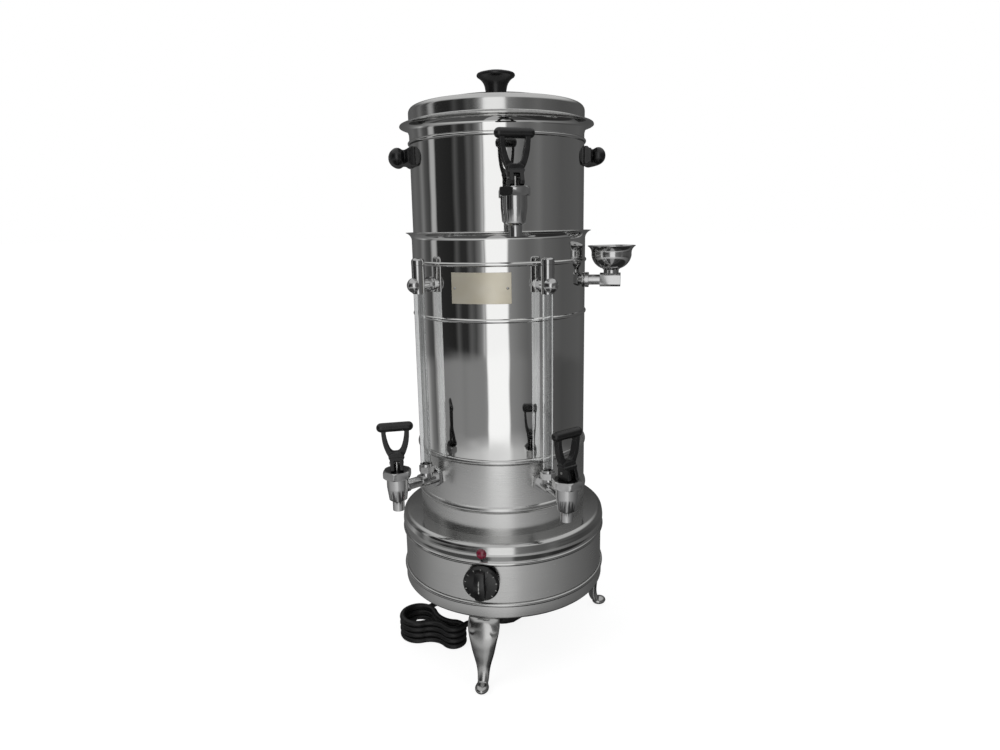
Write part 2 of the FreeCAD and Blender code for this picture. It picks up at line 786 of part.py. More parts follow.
def make_lid():
    rim, wall = d.pot_rim, d.lid_radius
    seat = rim + 0.15
    edge = d.pot_radius + d.pot_flare - 0.6
    shoulder, crown = d.lid_shoulder, d.lid_crown
    wall_top = rim + 3.5 + d.lid_wall
    shoulder_radius = wall - shoulder
    shoulder_top = wall_top + shoulder
    dome = arc_radius(shoulder_radius, crown - shoulder_top)
    stud = 2.5
    inside = [(stud, crown - skin, skin - dome), (shoulder_radius, shoulder_top - skin, skin - shoulder),
              (wall - skin, wall_top), (wall - skin, seat + 3), (edge - 1.2, seat)]
    outside = [(edge, seat), (edge, seat + skin), (wall, seat + 3.4), (wall, wall_top, shoulder),
               (shoulder_radius, shoulder_top, dome), (stud, crown)]
    keep(turned(inside + outside), "lid")

    top = crown + d.lid_knob_rise
    cap, neck, foot = d.lid_knob_diameter / 2, d.lid_knob_neck / 2, d.lid_knob_foot / 2
    under = top - 12.2
    brim = top - 7.1
    knob = turned([(0, crown + 0.1), (foot, crown + 0.1), (neck, under, -8), (cap - 1.4, brim - 2.6, 2.8),
                   (cap - 1, brim + 2.6, arc_radius(cap - 1, 4.5)), (0, top)])
    bore = rod(2.05, 13, vec(0, 0, crown), UP)
    screw = fuse(rod(4.2, 2.2, vec(0, 0, crown - skin), DOWN), rod(2, 12 + skin, vec(0, 0, crown - skin), UP))
    pair = fresh("Part::Compound", "pair")
    pair.Links = [cut(knob, bore), screw]
    keep(pair, "lid_knob")


# Self-closing lever taps. Each is built about its spout's axis, standing on the spout's end, facing -Y.
# Pulling the fork forward rolls its cam foot on the plate, which lifts the stem off the seat.


def tap_body(reach, wall):
    """Body, spout and shank; wall is the distance of the shank's shoulder from the urn's axis."""
    seat, shoulder = d.tap_seat, d.tap_shoulder
    chamber = d.tap_radius - d.tap_wall
    neck_top = shoulder + d.tap_neck_rise
    casting = turned([(0, 0), (d.spout_radius, 0), (d.spout_radius, d.spout_length),
                      (d.tap_foot_radius, d.tap_foot), (d.tap_radius, seat + 12), (d.tap_radius, shoulder),
                      (d.tap_neck, shoulder), (d.tap_neck, neck_top), (0, neck_top)])
    shank = rod(d.shank_radius, reach - wall, vec(0, 0, d.shank_rise), BACK)
    tail = rod(d.shank_radius - 0.9, 8, vec(0, reach - wall, d.shank_rise), BACK)
    ring = rod(d.shank_radius + 1.1, 3, vec(0, d.tap_radius - 1, d.shank_rise), BACK)
    bore = rod(d.shank_bore, reach - wall + 9, vec(0, 0, d.shank_rise), BACK)
    spout = rod(d.spout_bore, seat + 1, Vector(), UP)
    hollow = rod(chamber, neck_top - seat + 1, vec(0, 0, seat), UP)
    return cut(fuse(casting, shank, tail, ring), bore, spout, hollow)


def bonnet():
    low = d.tap_shoulder
    top = low + d.bonnet_rise
    nut = hexagon(d.bonnet_flats, d.bonnet_rise, vec(0, 0, low), UP, 15)
    inner, outer = d.bonnet_flats * 0.52, d.bonnet_flats * 0.577
    chamfer = turned([(0, low), (inner, low), (outer, low + 1.6), (outer, top - 1.6), (inner, top), (0, top)])
    thread = rod(d.tap_neck + d.pin_play, d.tap_neck_rise + 0.2, vec(0, 0, low), UP)
    dish = rod(d.bonnet_dish, d.cam_plate, vec(0, 0, top - d.cam_plate), UP)
    hole = rod(d.stem_radius + d.stem_play, d.bonnet_rise, vec(0, 0, low), UP)
    return cut(common(nut, chamfer), thread, dish, hole)


def cam_plate():
    top = d.tap_shoulder + d.bonnet_rise
    return cut(rod(d.bonnet_dish - 0.1, d.cam_plate, vec(0, 0, top - d.cam_plate), UP),
               rod(d.stem_radius + d.stem_play, d.cam_plate, vec(0, 0, top - d.cam_plate), UP))


def pivot_height():
    return d.tap_shoulder + d.bonnet_rise + d.pivot_rise


def stem():
    low = d.tap_seat + 2.2
    pivot = pivot_height()
    spindle = turned([(0, low), (d.stem_radius, low),
                      (d.stem_radius, pivot + 1.4, arc_radius(d.stem_radius, 1.6)),
                      (0, pivot + 3)])
    flange = rod(d.stem_radius + 2.9, 1, vec(0, 0, d.tap_seat + 0.2 + d.seat_cup_rise), UP)
    hole = rod(d.cross_pin / 2 + 0.02, 20, vec(-10, 0, pivot), ACROSS)
    pin = rod(d.cross_pin / 2, d.handle_neck + 1.6, vec(-d.handle_neck / 2 - 0.8, 0, pivot), ACROSS)
    group = fresh("Part::Compound", "stem")
    group.Links = [cut(fuse(spindle, flange), hole), pin]
    return group


def seat_cup():
    low = d.tap_seat + 0.2
    radius = d.seat_cup_radius
    top = low + d.seat_cup_rise
    cup = turned([(0, low), (radius - 1.2, low), (radius, low + 1.4), (radius, low + 3.6), (radius - 2, top),
                  (0, top)])
    return cut(cup, rod(d.stem_radius + 0.02, 10, vec(0, 0, d.tap_seat + 2.2), UP))


def handle():
    """Fork, grip and cam foot, from a front outline crossed with a side outline."""
    pivot = pivot_height()
    plate = d.tap_shoulder + d.bonnet_rise
    foot = plate + 0.2
    grip = plate + d.handle_rise
    window_low = plate + d.handle_window_low
    neck, span, window = d.handle_neck / 2, d.handle_span / 2, d.handle_window / 2
    fork_low = window_low - 3
    waist = (neck + span) / 2 + 1.2
    front = [(neck, foot), (neck, fork_low - 4), (waist, fork_low + 6), (span, grip - 9), (span, grip),
             (-span, grip), (-span, grip - 9), (-waist, fork_low + 6), (-neck, fork_low - 4), (-neck, foot)]
    arch = window - 0.6
    opening = [(arch, window_low + arch), (window, grip - 3), (-window, grip - 3),
               (-arch, window_low + arch, arch * 1.02)]
    cheeks = padded("XZ_Plane", d.handle_depth * 3, front, opening)
    # side outline in (y, z): flat heel under the pivot, rolling toe in front of it
    lead, roll = d.cam_lead, d.cam_radius - 0.2
    toe = lead + roll * 0.62
    toe_up = pivot + (d.cam_radius - d.pivot_rise) - roll * 0.785
    back = d.handle_depth / 2
    slim = 4
    side = [(back, foot), (back, pivot + 9), (slim, window_low + 6), (slim, grip), (-slim, grip),
            (-slim, window_low + 6), (-back, pivot + 8), (-toe, toe_up + 3), (-toe, toe_up, roll),
            (-lead, foot)]
    flank = padded("YZ_Plane", d.handle_span * 1.5, side)
    bar = turned([(0, 0), (d.grip_diameter / 2 - 1.6, 0, 1.6), (d.grip_diameter / 2, 1.6),
                  (d.grip_diameter / 2, d.grip_length - 1.6, 1.6),
                  (d.grip_diameter / 2 - 1.6, d.grip_length), (0, d.grip_length)])
    bar.Placement = Placement(vec(-d.grip_length / 2, 0, grip), Rotation(UP, ACROSS))
    slot = block(d.stem_radius * 2 + 0.4, 60, pivot + 4 - foot, vec(0, 0, foot))
    hole = rod(d.cross_pin / 2 + d.pin_play, 40, vec(-20, 0, pivot), ACROSS)
    return cut(fuse(common(cheeks, flank), bar), slot, hole)


def arc_through(start, tangent, end):
    """The arc that leaves start along a tangent and reaches end."""
    chord = end - start
    half_chord = chord.Length / 2
    cosine = tangent.dot(chord) / chord.Length
    if cosine > 1 - 1e-9:
        return Part.LineSegment(start, end).toShape()
    reach = half_chord / cosine
    corner = start + tangent * reach
    middle = (start + end) / 2
    middle = middle + (corner - middle) * (cosine / (1 + cosine))
    return Part.Arc(start, middle, end).toShape()


def biarc(start, first, end, last):
    """Two tangent arcs between two points with given directions."""
    span = end - start
    a = 2 * first.dot(last) - 2
    b = -2 * span.dot(first + last)
    c = span.dot(span)
    if abs(a) < 1e-9:
        reach = -c / b
    else:
        root = math.sqrt(b * b - 4 * a * c)
        reach = max((-b + root) / (2 * a), (-b - root) / (2 * a))
    joint = (start + first * reach + end - last * reach) / 2
    return [arc_through(start, first, joint), arc_through(end, last * -1, joint)]


def tube_along(edges, radius, start, tangent):
    """A round tube swept along tangent edges."""
    ring = Part.Wire(Part.Circle(start, tangent, radius).toShape())
    path = Part.Wire(Part.__sortEdges__(edges))
    return path.makePipeShell([ring], True, False)


def spring_shape():
    """The closing spring, between the seat cup and the bonnet."""
    low = number_of(d.tap_seat + 0.2 + d.seat_cup_rise + 1) + number_of(d.spring_wire) / 2 + 0.1
    high = number_of(d.tap_shoulder + d.tap_neck_rise) - number_of(d.spring_wire) / 2 - 0.1
    radius = number_of(d.spring_radius)
    steps = 4 * int(number_of(d.spring_turns))
    points, tangents = [], []
    rise = (high - low) / steps
    for i in range(steps + 1):
        turn = math.pi / 2 * i
        points.append(Vector(radius * math.cos(turn), radius * math.sin(turn), low + rise * i))
        slope = Vector(-radius * math.sin(turn), radius * math.cos(turn), rise / (math.pi / 2))
        tangents.append(slope.normalize())
    edges = []
    for i in range(steps):
        edges += biarc(points[i], tangents[i], points[i + 1], tangents[i + 1])
    return tube_along(edges, number_of(d.spring_wire) / 2, points[0], tangents[0])


def make_tap(name, azimuth, reach, height, shoulder, turn):
    """One tap. Its handle is turned about the spout's axis, as the bonnet allows."""
    base = height - d.shank_rise
    place = facing(azimuth, reach, base)
    aimed = Placement(spot(azimuth, reach, base), Rotation(UP, number_of(azimuth) + turn))
    keep(tap_body(reach, shoulder), name + "_tap_body", place)
    keep(bonnet(), name + "_tap_bonnet", place)
    keep(stem(), name + "_tap_stem", aimed)
    keep(seat_cup(), name + "_tap_seat_cup", aimed)
    keep(handle(), name + "_tap_handle", aimed)
    feature(name + "_tap_spring", spring_shape(), place)


def lock_nut(azimuth, wall, height):
    """A nut on the tail of a fitting, inside a wall."""
    out = spot(azimuth, 1)
    nut = hexagon(d.lock_nut_flats, d.lock_nut_rise, spot(azimuth, wall - 0.5, height), out * -1)
    hole = rod(d.shank_radius - d.pin_play + 0.1, 10, spot(azimuth, wall + 2, height), out * -1)
    return cut(nut, hole)


# Water gauges: a glass between a tee on the tap's shank and a head screwed into the wall


def make_gauge(name, azimuth):
    radius = d.gauge_radius
    shank = d.tap_height
    wall = d.skirt_radius
    out = spot(azimuth, 1)
    tee_end = radius + d.tee_length / 2
    glass = d.glass_diameter / 2

    barrel = rod(d.tee_radius, tee_end - wall, spot(azimuth, wall, shank), out)
    flange = hexagon(d.lock_nut_flats + 2, 4, spot(azimuth, wall, shank), out)
    tail = rod(d.shank_radius - 0.1, 16, spot(azimuth, wall - 15, shank), out)
    boss = rod(d.tee_radius - 0.5, d.tee_rise, spot(azimuth, radius, shank), UP)
    bore = rod(d.shank_bore, tee_end - wall + 18, spot(azimuth, wall - 16, shank), out)
    socket = rod(d.shank_radius - 0.9 + d.pin_play, 8.2, spot(azimuth, tee_end - 8.2, shank), out)
    well = rod(glass + 0.1, 10, spot(azimuth, radius, shank + 6), UP)
    drain = rod(d.shank_bore - 1, 10, spot(azimuth, radius, shank), UP)
    keep(cut(fuse(barrel, flange, tail, boss), bore, socket, well, drain), name + "_gauge_tee")

    foot = shank + 6.5
    top = d.gauge_head + d.head_sleeve_rise - 2
    tube = cut(rod(glass, top - foot, spot(azimuth, radius, foot), UP),
               rod(glass - d.glass_wall, top - foot, spot(azimuth, radius, foot), UP))
    keep(tube, name + "_gauge_glass")

    head = d.gauge_head
    sleeve = rod(d.head_sleeve, d.head_sleeve_rise + 9, spot(azimuth, radius, head - 9), UP)
    arm = rod(d.head_barrel, radius + 5 - d.tank_radius, spot(azimuth, d.tank_radius, head), out)
    plate = rod(d.head_barrel + 2.2, 2.5, spot(azimuth, d.tank_radius + 0.05, head), out)
    nose = rod(d.head_nose, 9, spot(azimuth, d.tank_radius - 7, head), out)
    tube_hole = rod(glass + 0.1, d.head_sleeve_rise + 11, spot(azimuth, radius, head - 10), UP)
    feed = rod(d.head_nose - 1.5, radius - d.tank_radius + 8, spot(azimuth, d.tank_radius - 8, head), out)
    wall = d.tank_radius + 0.02
    trim = turned([(wall - 9, -12), (wall - 9, 12), (wall, 12), (wall, -12)])
    trim.Placement = Placement(vec(0, 0, head), Rotation())
    keep(cut(fuse(sleeve, cut(fuse(arm, plate), trim), nose), tube_hole, feed), name + "_gauge_head")


def gauge_gland(azimuth):
    """The nut that presses the seal on the foot of a glass."""
    low = d.tap_height + d.tee_rise + 0.1
    body = hexagon(d.gland_radius * 2, d.gland_rise - 3, spot(azimuth, d.gauge_radius, low), UP)
    ring = rod(d.gland_radius - 0.6, 3, spot(azimuth, d.gauge_radius, low + d.gland_rise - 3), UP)
    hole = rod(d.glass_diameter / 2 + 0.1, 30, spot(azimuth, d.gauge_radius, low - 2), UP)
    return cut(fuse(body, ring), hole)


def gauge_caps(azimuth):
    """The cap over a glass and the domed cap on the end of its head."""
    top = d.gauge_head + d.head_sleeve_rise
    cap = turned([(0, 0), (d.head_sleeve + 0.1, 0), (d.head_sleeve + 0.1, d.cap_rise - 3.6, 3.6),
                  (d.head_sleeve - 3.5, d.cap_rise), (0, d.cap_rise)])
    cap.Placement = Placement(spot(azimuth, d.gauge_radius, top + 0.05), Rotation())
    dome = turned([(0, 0), (d.dome_radius, 0), (d.dome_radius, 3.2, d.dome_radius * 1.2),
                   (3, d.dome_length - 0.6),
                   (0, d.dome_length)])
    start = d.gauge_radius + d.head_sleeve - 1.8
    dome.Placement = Placement(spot(azimuth, start, d.gauge_head), Rotation(UP, spot(azimuth, 1)))
    hollow = rod(d.head_sleeve + 0.05, 40, spot(azimuth, d.gauge_radius, d.gauge_head - 20), UP)
    return [cap, cut(dome, hollow)]


def make_gauges():
    sides = (-d.tap_azimuth, d.tap_azimuth)
    for name, azimuth in zip(("left", "right"), sides):
        make_gauge(name, azimuth)
    for label, pieces in (
        ("gauge_glands", [gauge_gland(azimuth) for azimuth in sides]),
        ("gauge_caps", [piece for azimuth in sides for piece in gauge_caps(azimuth)]),
        ("shank_nuts", [lock_nut(azimuth, d.tank_radius - skin, d.tap_height) for azimuth in sides]),
    ):
        group = fresh("Part::Compound", "group")
        group.Links = pieces
        keep(group, label)


# Filling funnel: a spun cup on an elbow, with a pipe into the tank's wall


def make_funnel():
    bowl, rim, rise = d.funnel_bowl, d.funnel_rim, d.funnel_rise
    neck = d.funnel_neck
    lip = d.funnel_lip
    low = d.elbow_width / 2
    base = low + 3.5
    flare = rim - bowl
    bend = arc_radius(lip, flare)
    round_low = base + 2 + bowl * 0.62
    hollow = 3.6
    cup = turned([(hollow, low), (neck, low), (neck, base), (neck + 1.5, base + 1.5, bowl * 0.8),
                  (bowl, round_low),
                  (bowl, rise - lip, -bend), (rim, rise), (rim - skin, rise, bend), (bowl - skin, rise - lip),
                  (bowl - skin, round_low, -(bowl * 0.8 - skin)), (neck + 1, base + 2.6),
                  (hollow, base + 1.5)])
    keep(cup, "funnel_cup", facing(d.funnel_azimuth, d.funnel_reach, d.funnel_height))

    out = spot(d.funnel_azimuth, 1)
    at = spot(d.funnel_azimuth, d.funnel_reach, d.funnel_height)
    half_width = number_of(d.elbow_width) / 2
    elbow = block(d.elbow_width, d.elbow_length, d.elbow_width, Vector(0, 1, 0), -half_width)
    elbow.Placement = facing(d.funnel_azimuth, d.funnel_reach, d.funnel_height).multiply(elbow.Placement)
    rounded = rod(d.elbow_width * 0.6, d.elbow_length, at - out * (number_of(d.elbow_length) / 2 + 1), out)
    block_end = common(elbow, rounded)
    wall = d.tank_radius
    pipe = rod(d.pipe_radius, d.funnel_reach - wall + 6,
               spot(d.funnel_azimuth, wall - 6, d.funnel_height), out)
    bore = rod(d.pipe_radius - 1.4, d.funnel_reach - wall + 7,
               spot(d.funnel_azimuth, wall - 7, d.funnel_height), out)
    down = rod(d.pipe_radius - 1.4, d.elbow_width, at, UP)
    keep(cut(fuse(block_end, pipe), bore, down), "funnel_elbow")

    nut = rod(8.6, 4, spot(d.funnel_azimuth, wall + 0.6, d.funnel_height), out)
    hole = rod(d.pipe_radius + d.pin_play, 10, spot(d.funnel_azimuth, wall - 1, d.funnel_height), out)
    keep(cut(nut, hole), "funnel_nut")


# Mains lead: out of the pan, down to the worktop, into a hank whose end goes to the plug

LEAD_ROUTE = [  # from the strain relief to the hank, chosen by hand
    (-58, 60, 55),
    (-58, 60, 36),
    (-64, 56, 17),
    (-79, 46, 5),
    (-96, 31, 3.6),
    (-109, 12.5, 3.6),
    (-116.7, -7.75, 3.6),
    (-122.02, -29.1, 3.6),
]
HANK_CENTRE = Vector(-103.5, -42, 0)
HANK_TURN = -14
HANK_LAYERS = 4
HANK_STEP = 7.8
HANK_SLOPE = 0.135
FOLD_WIDE = 21
FOLD_NARROW = 12.5
WAIST_BEND = 26
WAIST_HALF = 8


def rounded_route(points):
    """Straight runs joined by tangent arcs, each as large as its two runs allow."""
    points = [Vector(*point) for point in points]
    edges, radii = [], []
    start = points[0]
    for before, corner, after in zip(points, points[1:], points[2:]):
        into, onward = corner - before, after - corner
        shorter = min(into.Length, onward.Length)
        half_turn = into.getAngle(onward) / 2
        reach = 0.45 * shorter
        radii.append(reach / math.tan(half_turn))
        first = corner - into.normalize() * reach
        last = corner + onward.normalize() * reach
        edges.append(Part.LineSegment(start, first).toShape())
        edges.append(arc_through(first, into, last))
        start = last
    edges.append(Part.LineSegment(start, points[-1]).toShape())
    return edges, radii


def hank_frame(along, across, height):
    """A point of the hank from its own axes."""
    turn = math.radians(HANK_TURN)
    length_way = Vector(math.cos(turn), math.sin(turn), 0)
    width_way = Vector(-math.sin(turn), math.cos(turn), 0)
    return HANK_CENTRE + length_way * along + width_way * across + Vector(0, 0, height)


def hank_path():
    """Loops of two round folds joined by drawn-in runs, one on another."""
    depth = WAIST_HALF + WAIST_BEND
    waist = math.sqrt((FOLD_WIDE + WAIST_BEND) ** 2 - depth**2)
    narrow = waist + math.sqrt((FOLD_NARROW + WAIST_BEND) ** 2 - depth**2)
    wide_turn = math.atan2(depth, waist)
    narrow_turn = math.atan2(depth, waist - narrow)
    low = number_of(d.lead_diameter) / 2 + 0.1

    def on_wide(turn, height):
        return hank_frame(FOLD_WIDE * math.cos(turn), FOLD_WIDE * math.sin(turn), height)

    def on_narrow(turn, height):
        return hank_frame(narrow + FOLD_NARROW * math.cos(turn), FOLD_NARROW * math.sin(turn), height)

    def heading(turn, slope=0):
        return (hank_frame(-math.sin(turn), math.cos(turn), slope) - hank_frame(0, 0, 0)).normalize()

    def arc(centre_of, first, last, height):
        points = [centre_of(first + (last - first) * share, height) for share in (0, 0.5, 1)]
        return Part.Arc(*points).toShape()

    height = low
    edges = [Part.LineSegment(hank_frame(-FOLD_WIDE, 8, height), hank_frame(-FOLD_WIDE, 0, height)).toShape()]
    for layer in range(HANK_LAYERS):
        edges.append(arc(on_wide, math.pi, 2 * math.pi - wide_turn, height))
        middle = hank_frame(waist, -WAIST_HALF, height)
        edges.append(Part.Arc(on_wide(-wide_turn, height), middle, on_narrow(-narrow_turn, height)).toShape())
        if layer == HANK_LAYERS - 1:
            break
        edges.append(arc(on_narrow, -narrow_turn, 0, height))
        # the climb starts in the narrow fold, runs along the waist and ends in the wide fold
        above = height + HANK_STEP
        eased = (math.pi + wide_turn) / 2
        first = height + HANK_SLOPE * FOLD_NARROW * narrow_turn / 2
        second = above - HANK_SLOPE * FOLD_WIDE * (eased - wide_turn) / 2
        stations = [
            (on_narrow(0, height), heading(0)),
            (on_narrow(narrow_turn / 2, height + (first - height) / 4),
             heading(narrow_turn / 2, HANK_SLOPE / 2)),
            (on_narrow(narrow_turn, first), heading(narrow_turn, HANK_SLOPE)),
            (on_wide(wide_turn, second), heading(wide_turn, HANK_SLOPE)),
            (on_wide(eased, above), heading(eased)),
        ]
        for (start, way), (end, onward) in zip(stations, stations[1:]):
            edges += biarc(start, way, end, onward)
        edges.append(arc(on_wide, eased, math.pi, above))
        height = above
    # the last fold opens out, comes down and meets the plug
    leave = math.radians(-20)
    edges.append(arc(on_narrow, -narrow_turn, leave, height))
    way = heading(leave)
    start = on_narrow(leave, height)
    descent = start + way * 12
    landing = start + way * 44
    landing.z = number_of(d.plug_rise) / 2
    end = landing + way * 7
    edges.append(Part.LineSegment(start, descent).toShape())
    edges += biarc(descent, way, landing, way)
    edges.append(Part.LineSegment(landing, end).toShape())
    return edges, end, way


def least_gap(edges, diameter):
    """The least distance between two stretches of the tube that aren't neighbours along it."""
    points, travelled = [], [0]
    for edge in edges:
        count = max(int(edge.Length / 1.5), 3)
        some = edge.discretize(count)
        if points and (some[0] - points[-1]).Length > (some[-1] - points[-1]).Length:
            some.reverse()
        points += some if not points else some[1:]
    for first, second in zip(points, points[1:]):
        travelled.append(travelled[-1] + (second - first).Length)
    apart = 1e9
    for i in range(len(points)):
        for j in range(i + 1, len(points)):
            if travelled[j] - travelled[i] > 6 * diameter:
                apart = min(apart, (points[i] - points[j]).Length)
    return apart - diameter


def make_lead():
    radius = number_of(d.lead_diameter) / 2
    under = base_floor
    relief = turned([(0, 0), (radius + 1.3, 0), (radius + 3.6, d.gland_length - 4),
                     (d.gland_flange, d.gland_length - 4),
                     (d.gland_flange, d.gland_length), (d.gland_flange - 2.7, d.gland_length),
                     (d.gland_flange - 2.7, d.gland_length + 7), (0, d.gland_length + 7)])
    keep(relief, "lead_strain_relief", Placement(lead_exit + vec(0, 0, under - d.gland_length), Rotation()))

    edges, radii = rounded_route(LEAD_ROUTE)
    length = sum(edge.Length for edge in edges)
    first = Vector(*LEAD_ROUTE[0])
    tube = tube_along(edges, radius, first, DOWN)
    print("lead radii", [round(value) for value in radii], "length %.1f" % length)
    print("lead volume over section times length %.4f" % (tube.Volume / (math.pi * radius**2 * length)))
    feature("mains_lead", tube)

    edges, end, way = hank_path()
    start = hank_frame(-FOLD_WIDE, 8, radius + 0.1)
    hank = tube_along(edges, radius, start, hank_frame(0, -1, 0) - hank_frame(0, 0, 0))
    hank_length = sum(edge.Length for edge in edges)
    print("hank length %.1f, gap %.2f" % (hank_length, least_gap(edges, 2 * radius)))
    print("hank volume over section times length %.4f" % (hank.Volume / (math.pi * radius**2 * hank_length)))
    print("whole lead %.0f" % (length + hank_length))
    feature("lead_hank", hank)
    make_plug(end, way)


def make_plug(entry, way):
    """A moulded plug lying on the worktop, with three round pins."""
    width, rise = number_of(d.plug_width), number_of(d.plug_rise)
    length, relief = number_of(d.plug_length), number_of(d.plug_relief)
    radius = number_of(d.lead_diameter) / 2

    def section(x, y, z):
        """A flat-sided oval, so the plug lies steady."""
        half = y / 2
        side = x / 2 - half
        ends = [Part.Arc(Vector(side, -half, z), Vector(side + half, 0, z), Vector(side, half, z)),
                Part.Arc(Vector(-side, half, z), Vector(-side - half, 0, z), Vector(-side, -half, z))]
        flats = [Part.LineSegment(Vector(side, half, z), Vector(-side, half, z)),
                 Part.LineSegment(Vector(-side, -half, z), Vector(side, -half, z))]
        return Part.Wire([ends[0].toShape(), flats[0].toShape(), ends[1].toShape(), flats[1].toShape()])

    boot = Part.makeCone(radius + 1.2, radius + 3.4, relief)
    body = Part.makeLoft([section(20, 15, relief - 2), section(27, 19, relief + 5),
                          section(width, rise, relief + length * 0.45),
                          section(width, rise, relief + length)],
                         True, True)
    plug = boot.fuse(body)
    face = relief + length
    pins = []
    spots = [Vector(-9.5, 0, face), Vector(9.5, 0, face), Vector(0, 3, face)]
    for point in spots:
        pin = Part.makeCylinder(2.4, 19, point).fuse(Part.makeSphere(2.4, point + Vector(0, 0, 19)))
        pins.append(pin)
    place = Placement(entry, Rotation(UP, way))
    across = place.Rotation.multVec(ACROSS)
    level = Vector(-way.y, way.x, 0)
    roll = math.degrees(across.getAngle(level))
    best = min((place * Placement(Vector(), Rotation(UP, angle)) for angle in (roll, -roll)),
               key=lambda option: abs(option.Rotation.multVec(ACROSS).z))
    feature("plug_body", plug, best)
    feature("plug_pins", Part.makeCompound(pins), best)


make_base()
make_legs()
make_controls()
make_tank()
make_badge()
make_pot()
make_lid()
make_tap("left", -d.tap_azimuth, d.tap_reach, d.tap_height, d.gauge_radius + d.tee_length / 2, 60)
make_tap("right", d.tap_azimuth, d.tap_reach, d.tap_height, d.gauge_radius + d.tee_length / 2, 11)
make_tap("upper", d.top_tap_azimuth, d.top_tap_reach, d.top_tap_height, d.pot_radius + 3.2, 5)
keep(lock_nut(d.top_tap_azimuth, d.pot_radius - skin, d.top_tap_height), "upper_tap_lock_nut")
keep(cam_plate(), "upper_tap_cam_plate",
     facing(d.top_tap_azimuth, d.top_tap_reach, d.top_tap_height - d.shank_rise))
plates = []
for azimuth in (-d.tap_azimuth, d.tap_azimuth):
    plate = cam_plate()
    plate.Placement = facing(azimuth, d.tap_reach, d.tap_height - d.shank_rise)
    plates.append(plate)
group = fresh("Part::Compound", "plates")
group.Links = plates
keep(group, "tap_cam_plates")
make_gauges()
make_funnel()
make_lead()

doc.recompute()
for item in doc.Objects:
    faults = [state for state in item.State if state in ("Invalid", "Error")]
    if faults:
        raise RuntimeError("%s is %s" % (item.Label, faults))
for item in parts:
    if item.Shape.isNull() or not item.Shape.isValid():
        raise RuntimeError("%s has no valid shape" % item.Label)

os.makedirs("parts", exist_ok=True)
for item in parts:
    item.Shape.exportStep("parts/%s.step" % item.Label)
print(len(parts), "sub-parts written")
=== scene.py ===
import bpy
import bmesh
import json
import math
from mathutils import Matrix, Vector


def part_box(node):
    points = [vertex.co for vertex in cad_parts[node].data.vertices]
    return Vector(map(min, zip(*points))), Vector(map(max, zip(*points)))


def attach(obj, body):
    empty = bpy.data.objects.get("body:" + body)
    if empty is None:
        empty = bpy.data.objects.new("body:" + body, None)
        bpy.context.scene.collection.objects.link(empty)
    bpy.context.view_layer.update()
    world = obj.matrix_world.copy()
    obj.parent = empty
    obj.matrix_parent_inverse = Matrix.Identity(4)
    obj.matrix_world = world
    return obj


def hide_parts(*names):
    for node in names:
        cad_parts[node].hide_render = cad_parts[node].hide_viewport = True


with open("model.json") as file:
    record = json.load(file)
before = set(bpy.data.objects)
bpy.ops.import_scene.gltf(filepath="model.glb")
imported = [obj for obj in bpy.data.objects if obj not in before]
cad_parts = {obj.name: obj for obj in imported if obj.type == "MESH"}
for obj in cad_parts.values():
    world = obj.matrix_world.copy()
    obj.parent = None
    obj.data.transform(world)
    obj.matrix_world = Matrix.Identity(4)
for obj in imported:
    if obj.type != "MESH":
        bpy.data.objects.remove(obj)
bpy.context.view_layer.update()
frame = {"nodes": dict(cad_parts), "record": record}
mm = 0.001
print("frame loaded:", len(frame["nodes"]), "nodes")


# camera first: the photograph's own, found from the urn's outline
photoCamera = {
    "azimuth": 11.3,  # degrees round the tank's axis, from the front towards the funnel
    "distance": 802,  # mm, as the height is
    "height": 511.6,
    "pitchDown": 12.45,
    "roll": 0.977,
    "pan": 0.064,
    "focal": 24.37,
}


def makeCamera(c):
    data = bpy.data.cameras.new("photoCamera")
    data.sensor_width = 36
    data.lens = c["focal"]
    data.clip_start, data.clip_end = 0.01, 50
    camera = bpy.data.objects.new("photoCamera", data)
    bpy.context.scene.collection.objects.link(camera)
    turn = math.radians(c["azimuth"])
    place = Vector((math.sin(turn) * c["distance"], -math.cos(turn) * c["distance"], c["height"])) * mm
    look = Matrix.Rotation(turn + math.radians(c["pan"]), 4, "Z")
    look = look @ Matrix.Rotation(-math.radians(c["pitchDown"]), 4, "X")
    look = look @ Matrix.Rotation(math.radians(c["roll"]), 4, "Y")
    look = look @ Matrix.Rotation(math.pi / 2, 4, "X")
    camera.matrix_world = Matrix.Translation(place) @ look
    bpy.context.scene.camera = camera


makeCamera(photoCamera)
print("camera set")


# sRGB hex to linear RGBA
def hexColor(code):
    channels = [int(code[i:i + 2], 16) / 255 for i in (1, 3, 5)]
    return tuple(c / 12.92 if c <= 0.04045 else ((c + 0.055) / 1.055) ** 2.4 for c in channels) + (1.0,)


# one node with its settings and links; "stops" are the places and colours of a colour ramp
def addNode(tree, kind, settings=None, links=None):
    node = tree.nodes.new(kind)
    for name, value in (settings or {}).items():
        if name == "stops":
            elements = node.color_ramp.elements
            while len(elements) < len(value):
                elements.new(0.5)
            for item, (place, shade) in zip(elements, value):
                item.position = place
                item.color = shade
        elif isinstance(name, int) or name in node.inputs:
            node.inputs[name].default_value = value
        else:
            setattr(node, name, value)
    for name, source in (links or {}).items():
        tree.links.new(source, node.inputs[name])
    return node


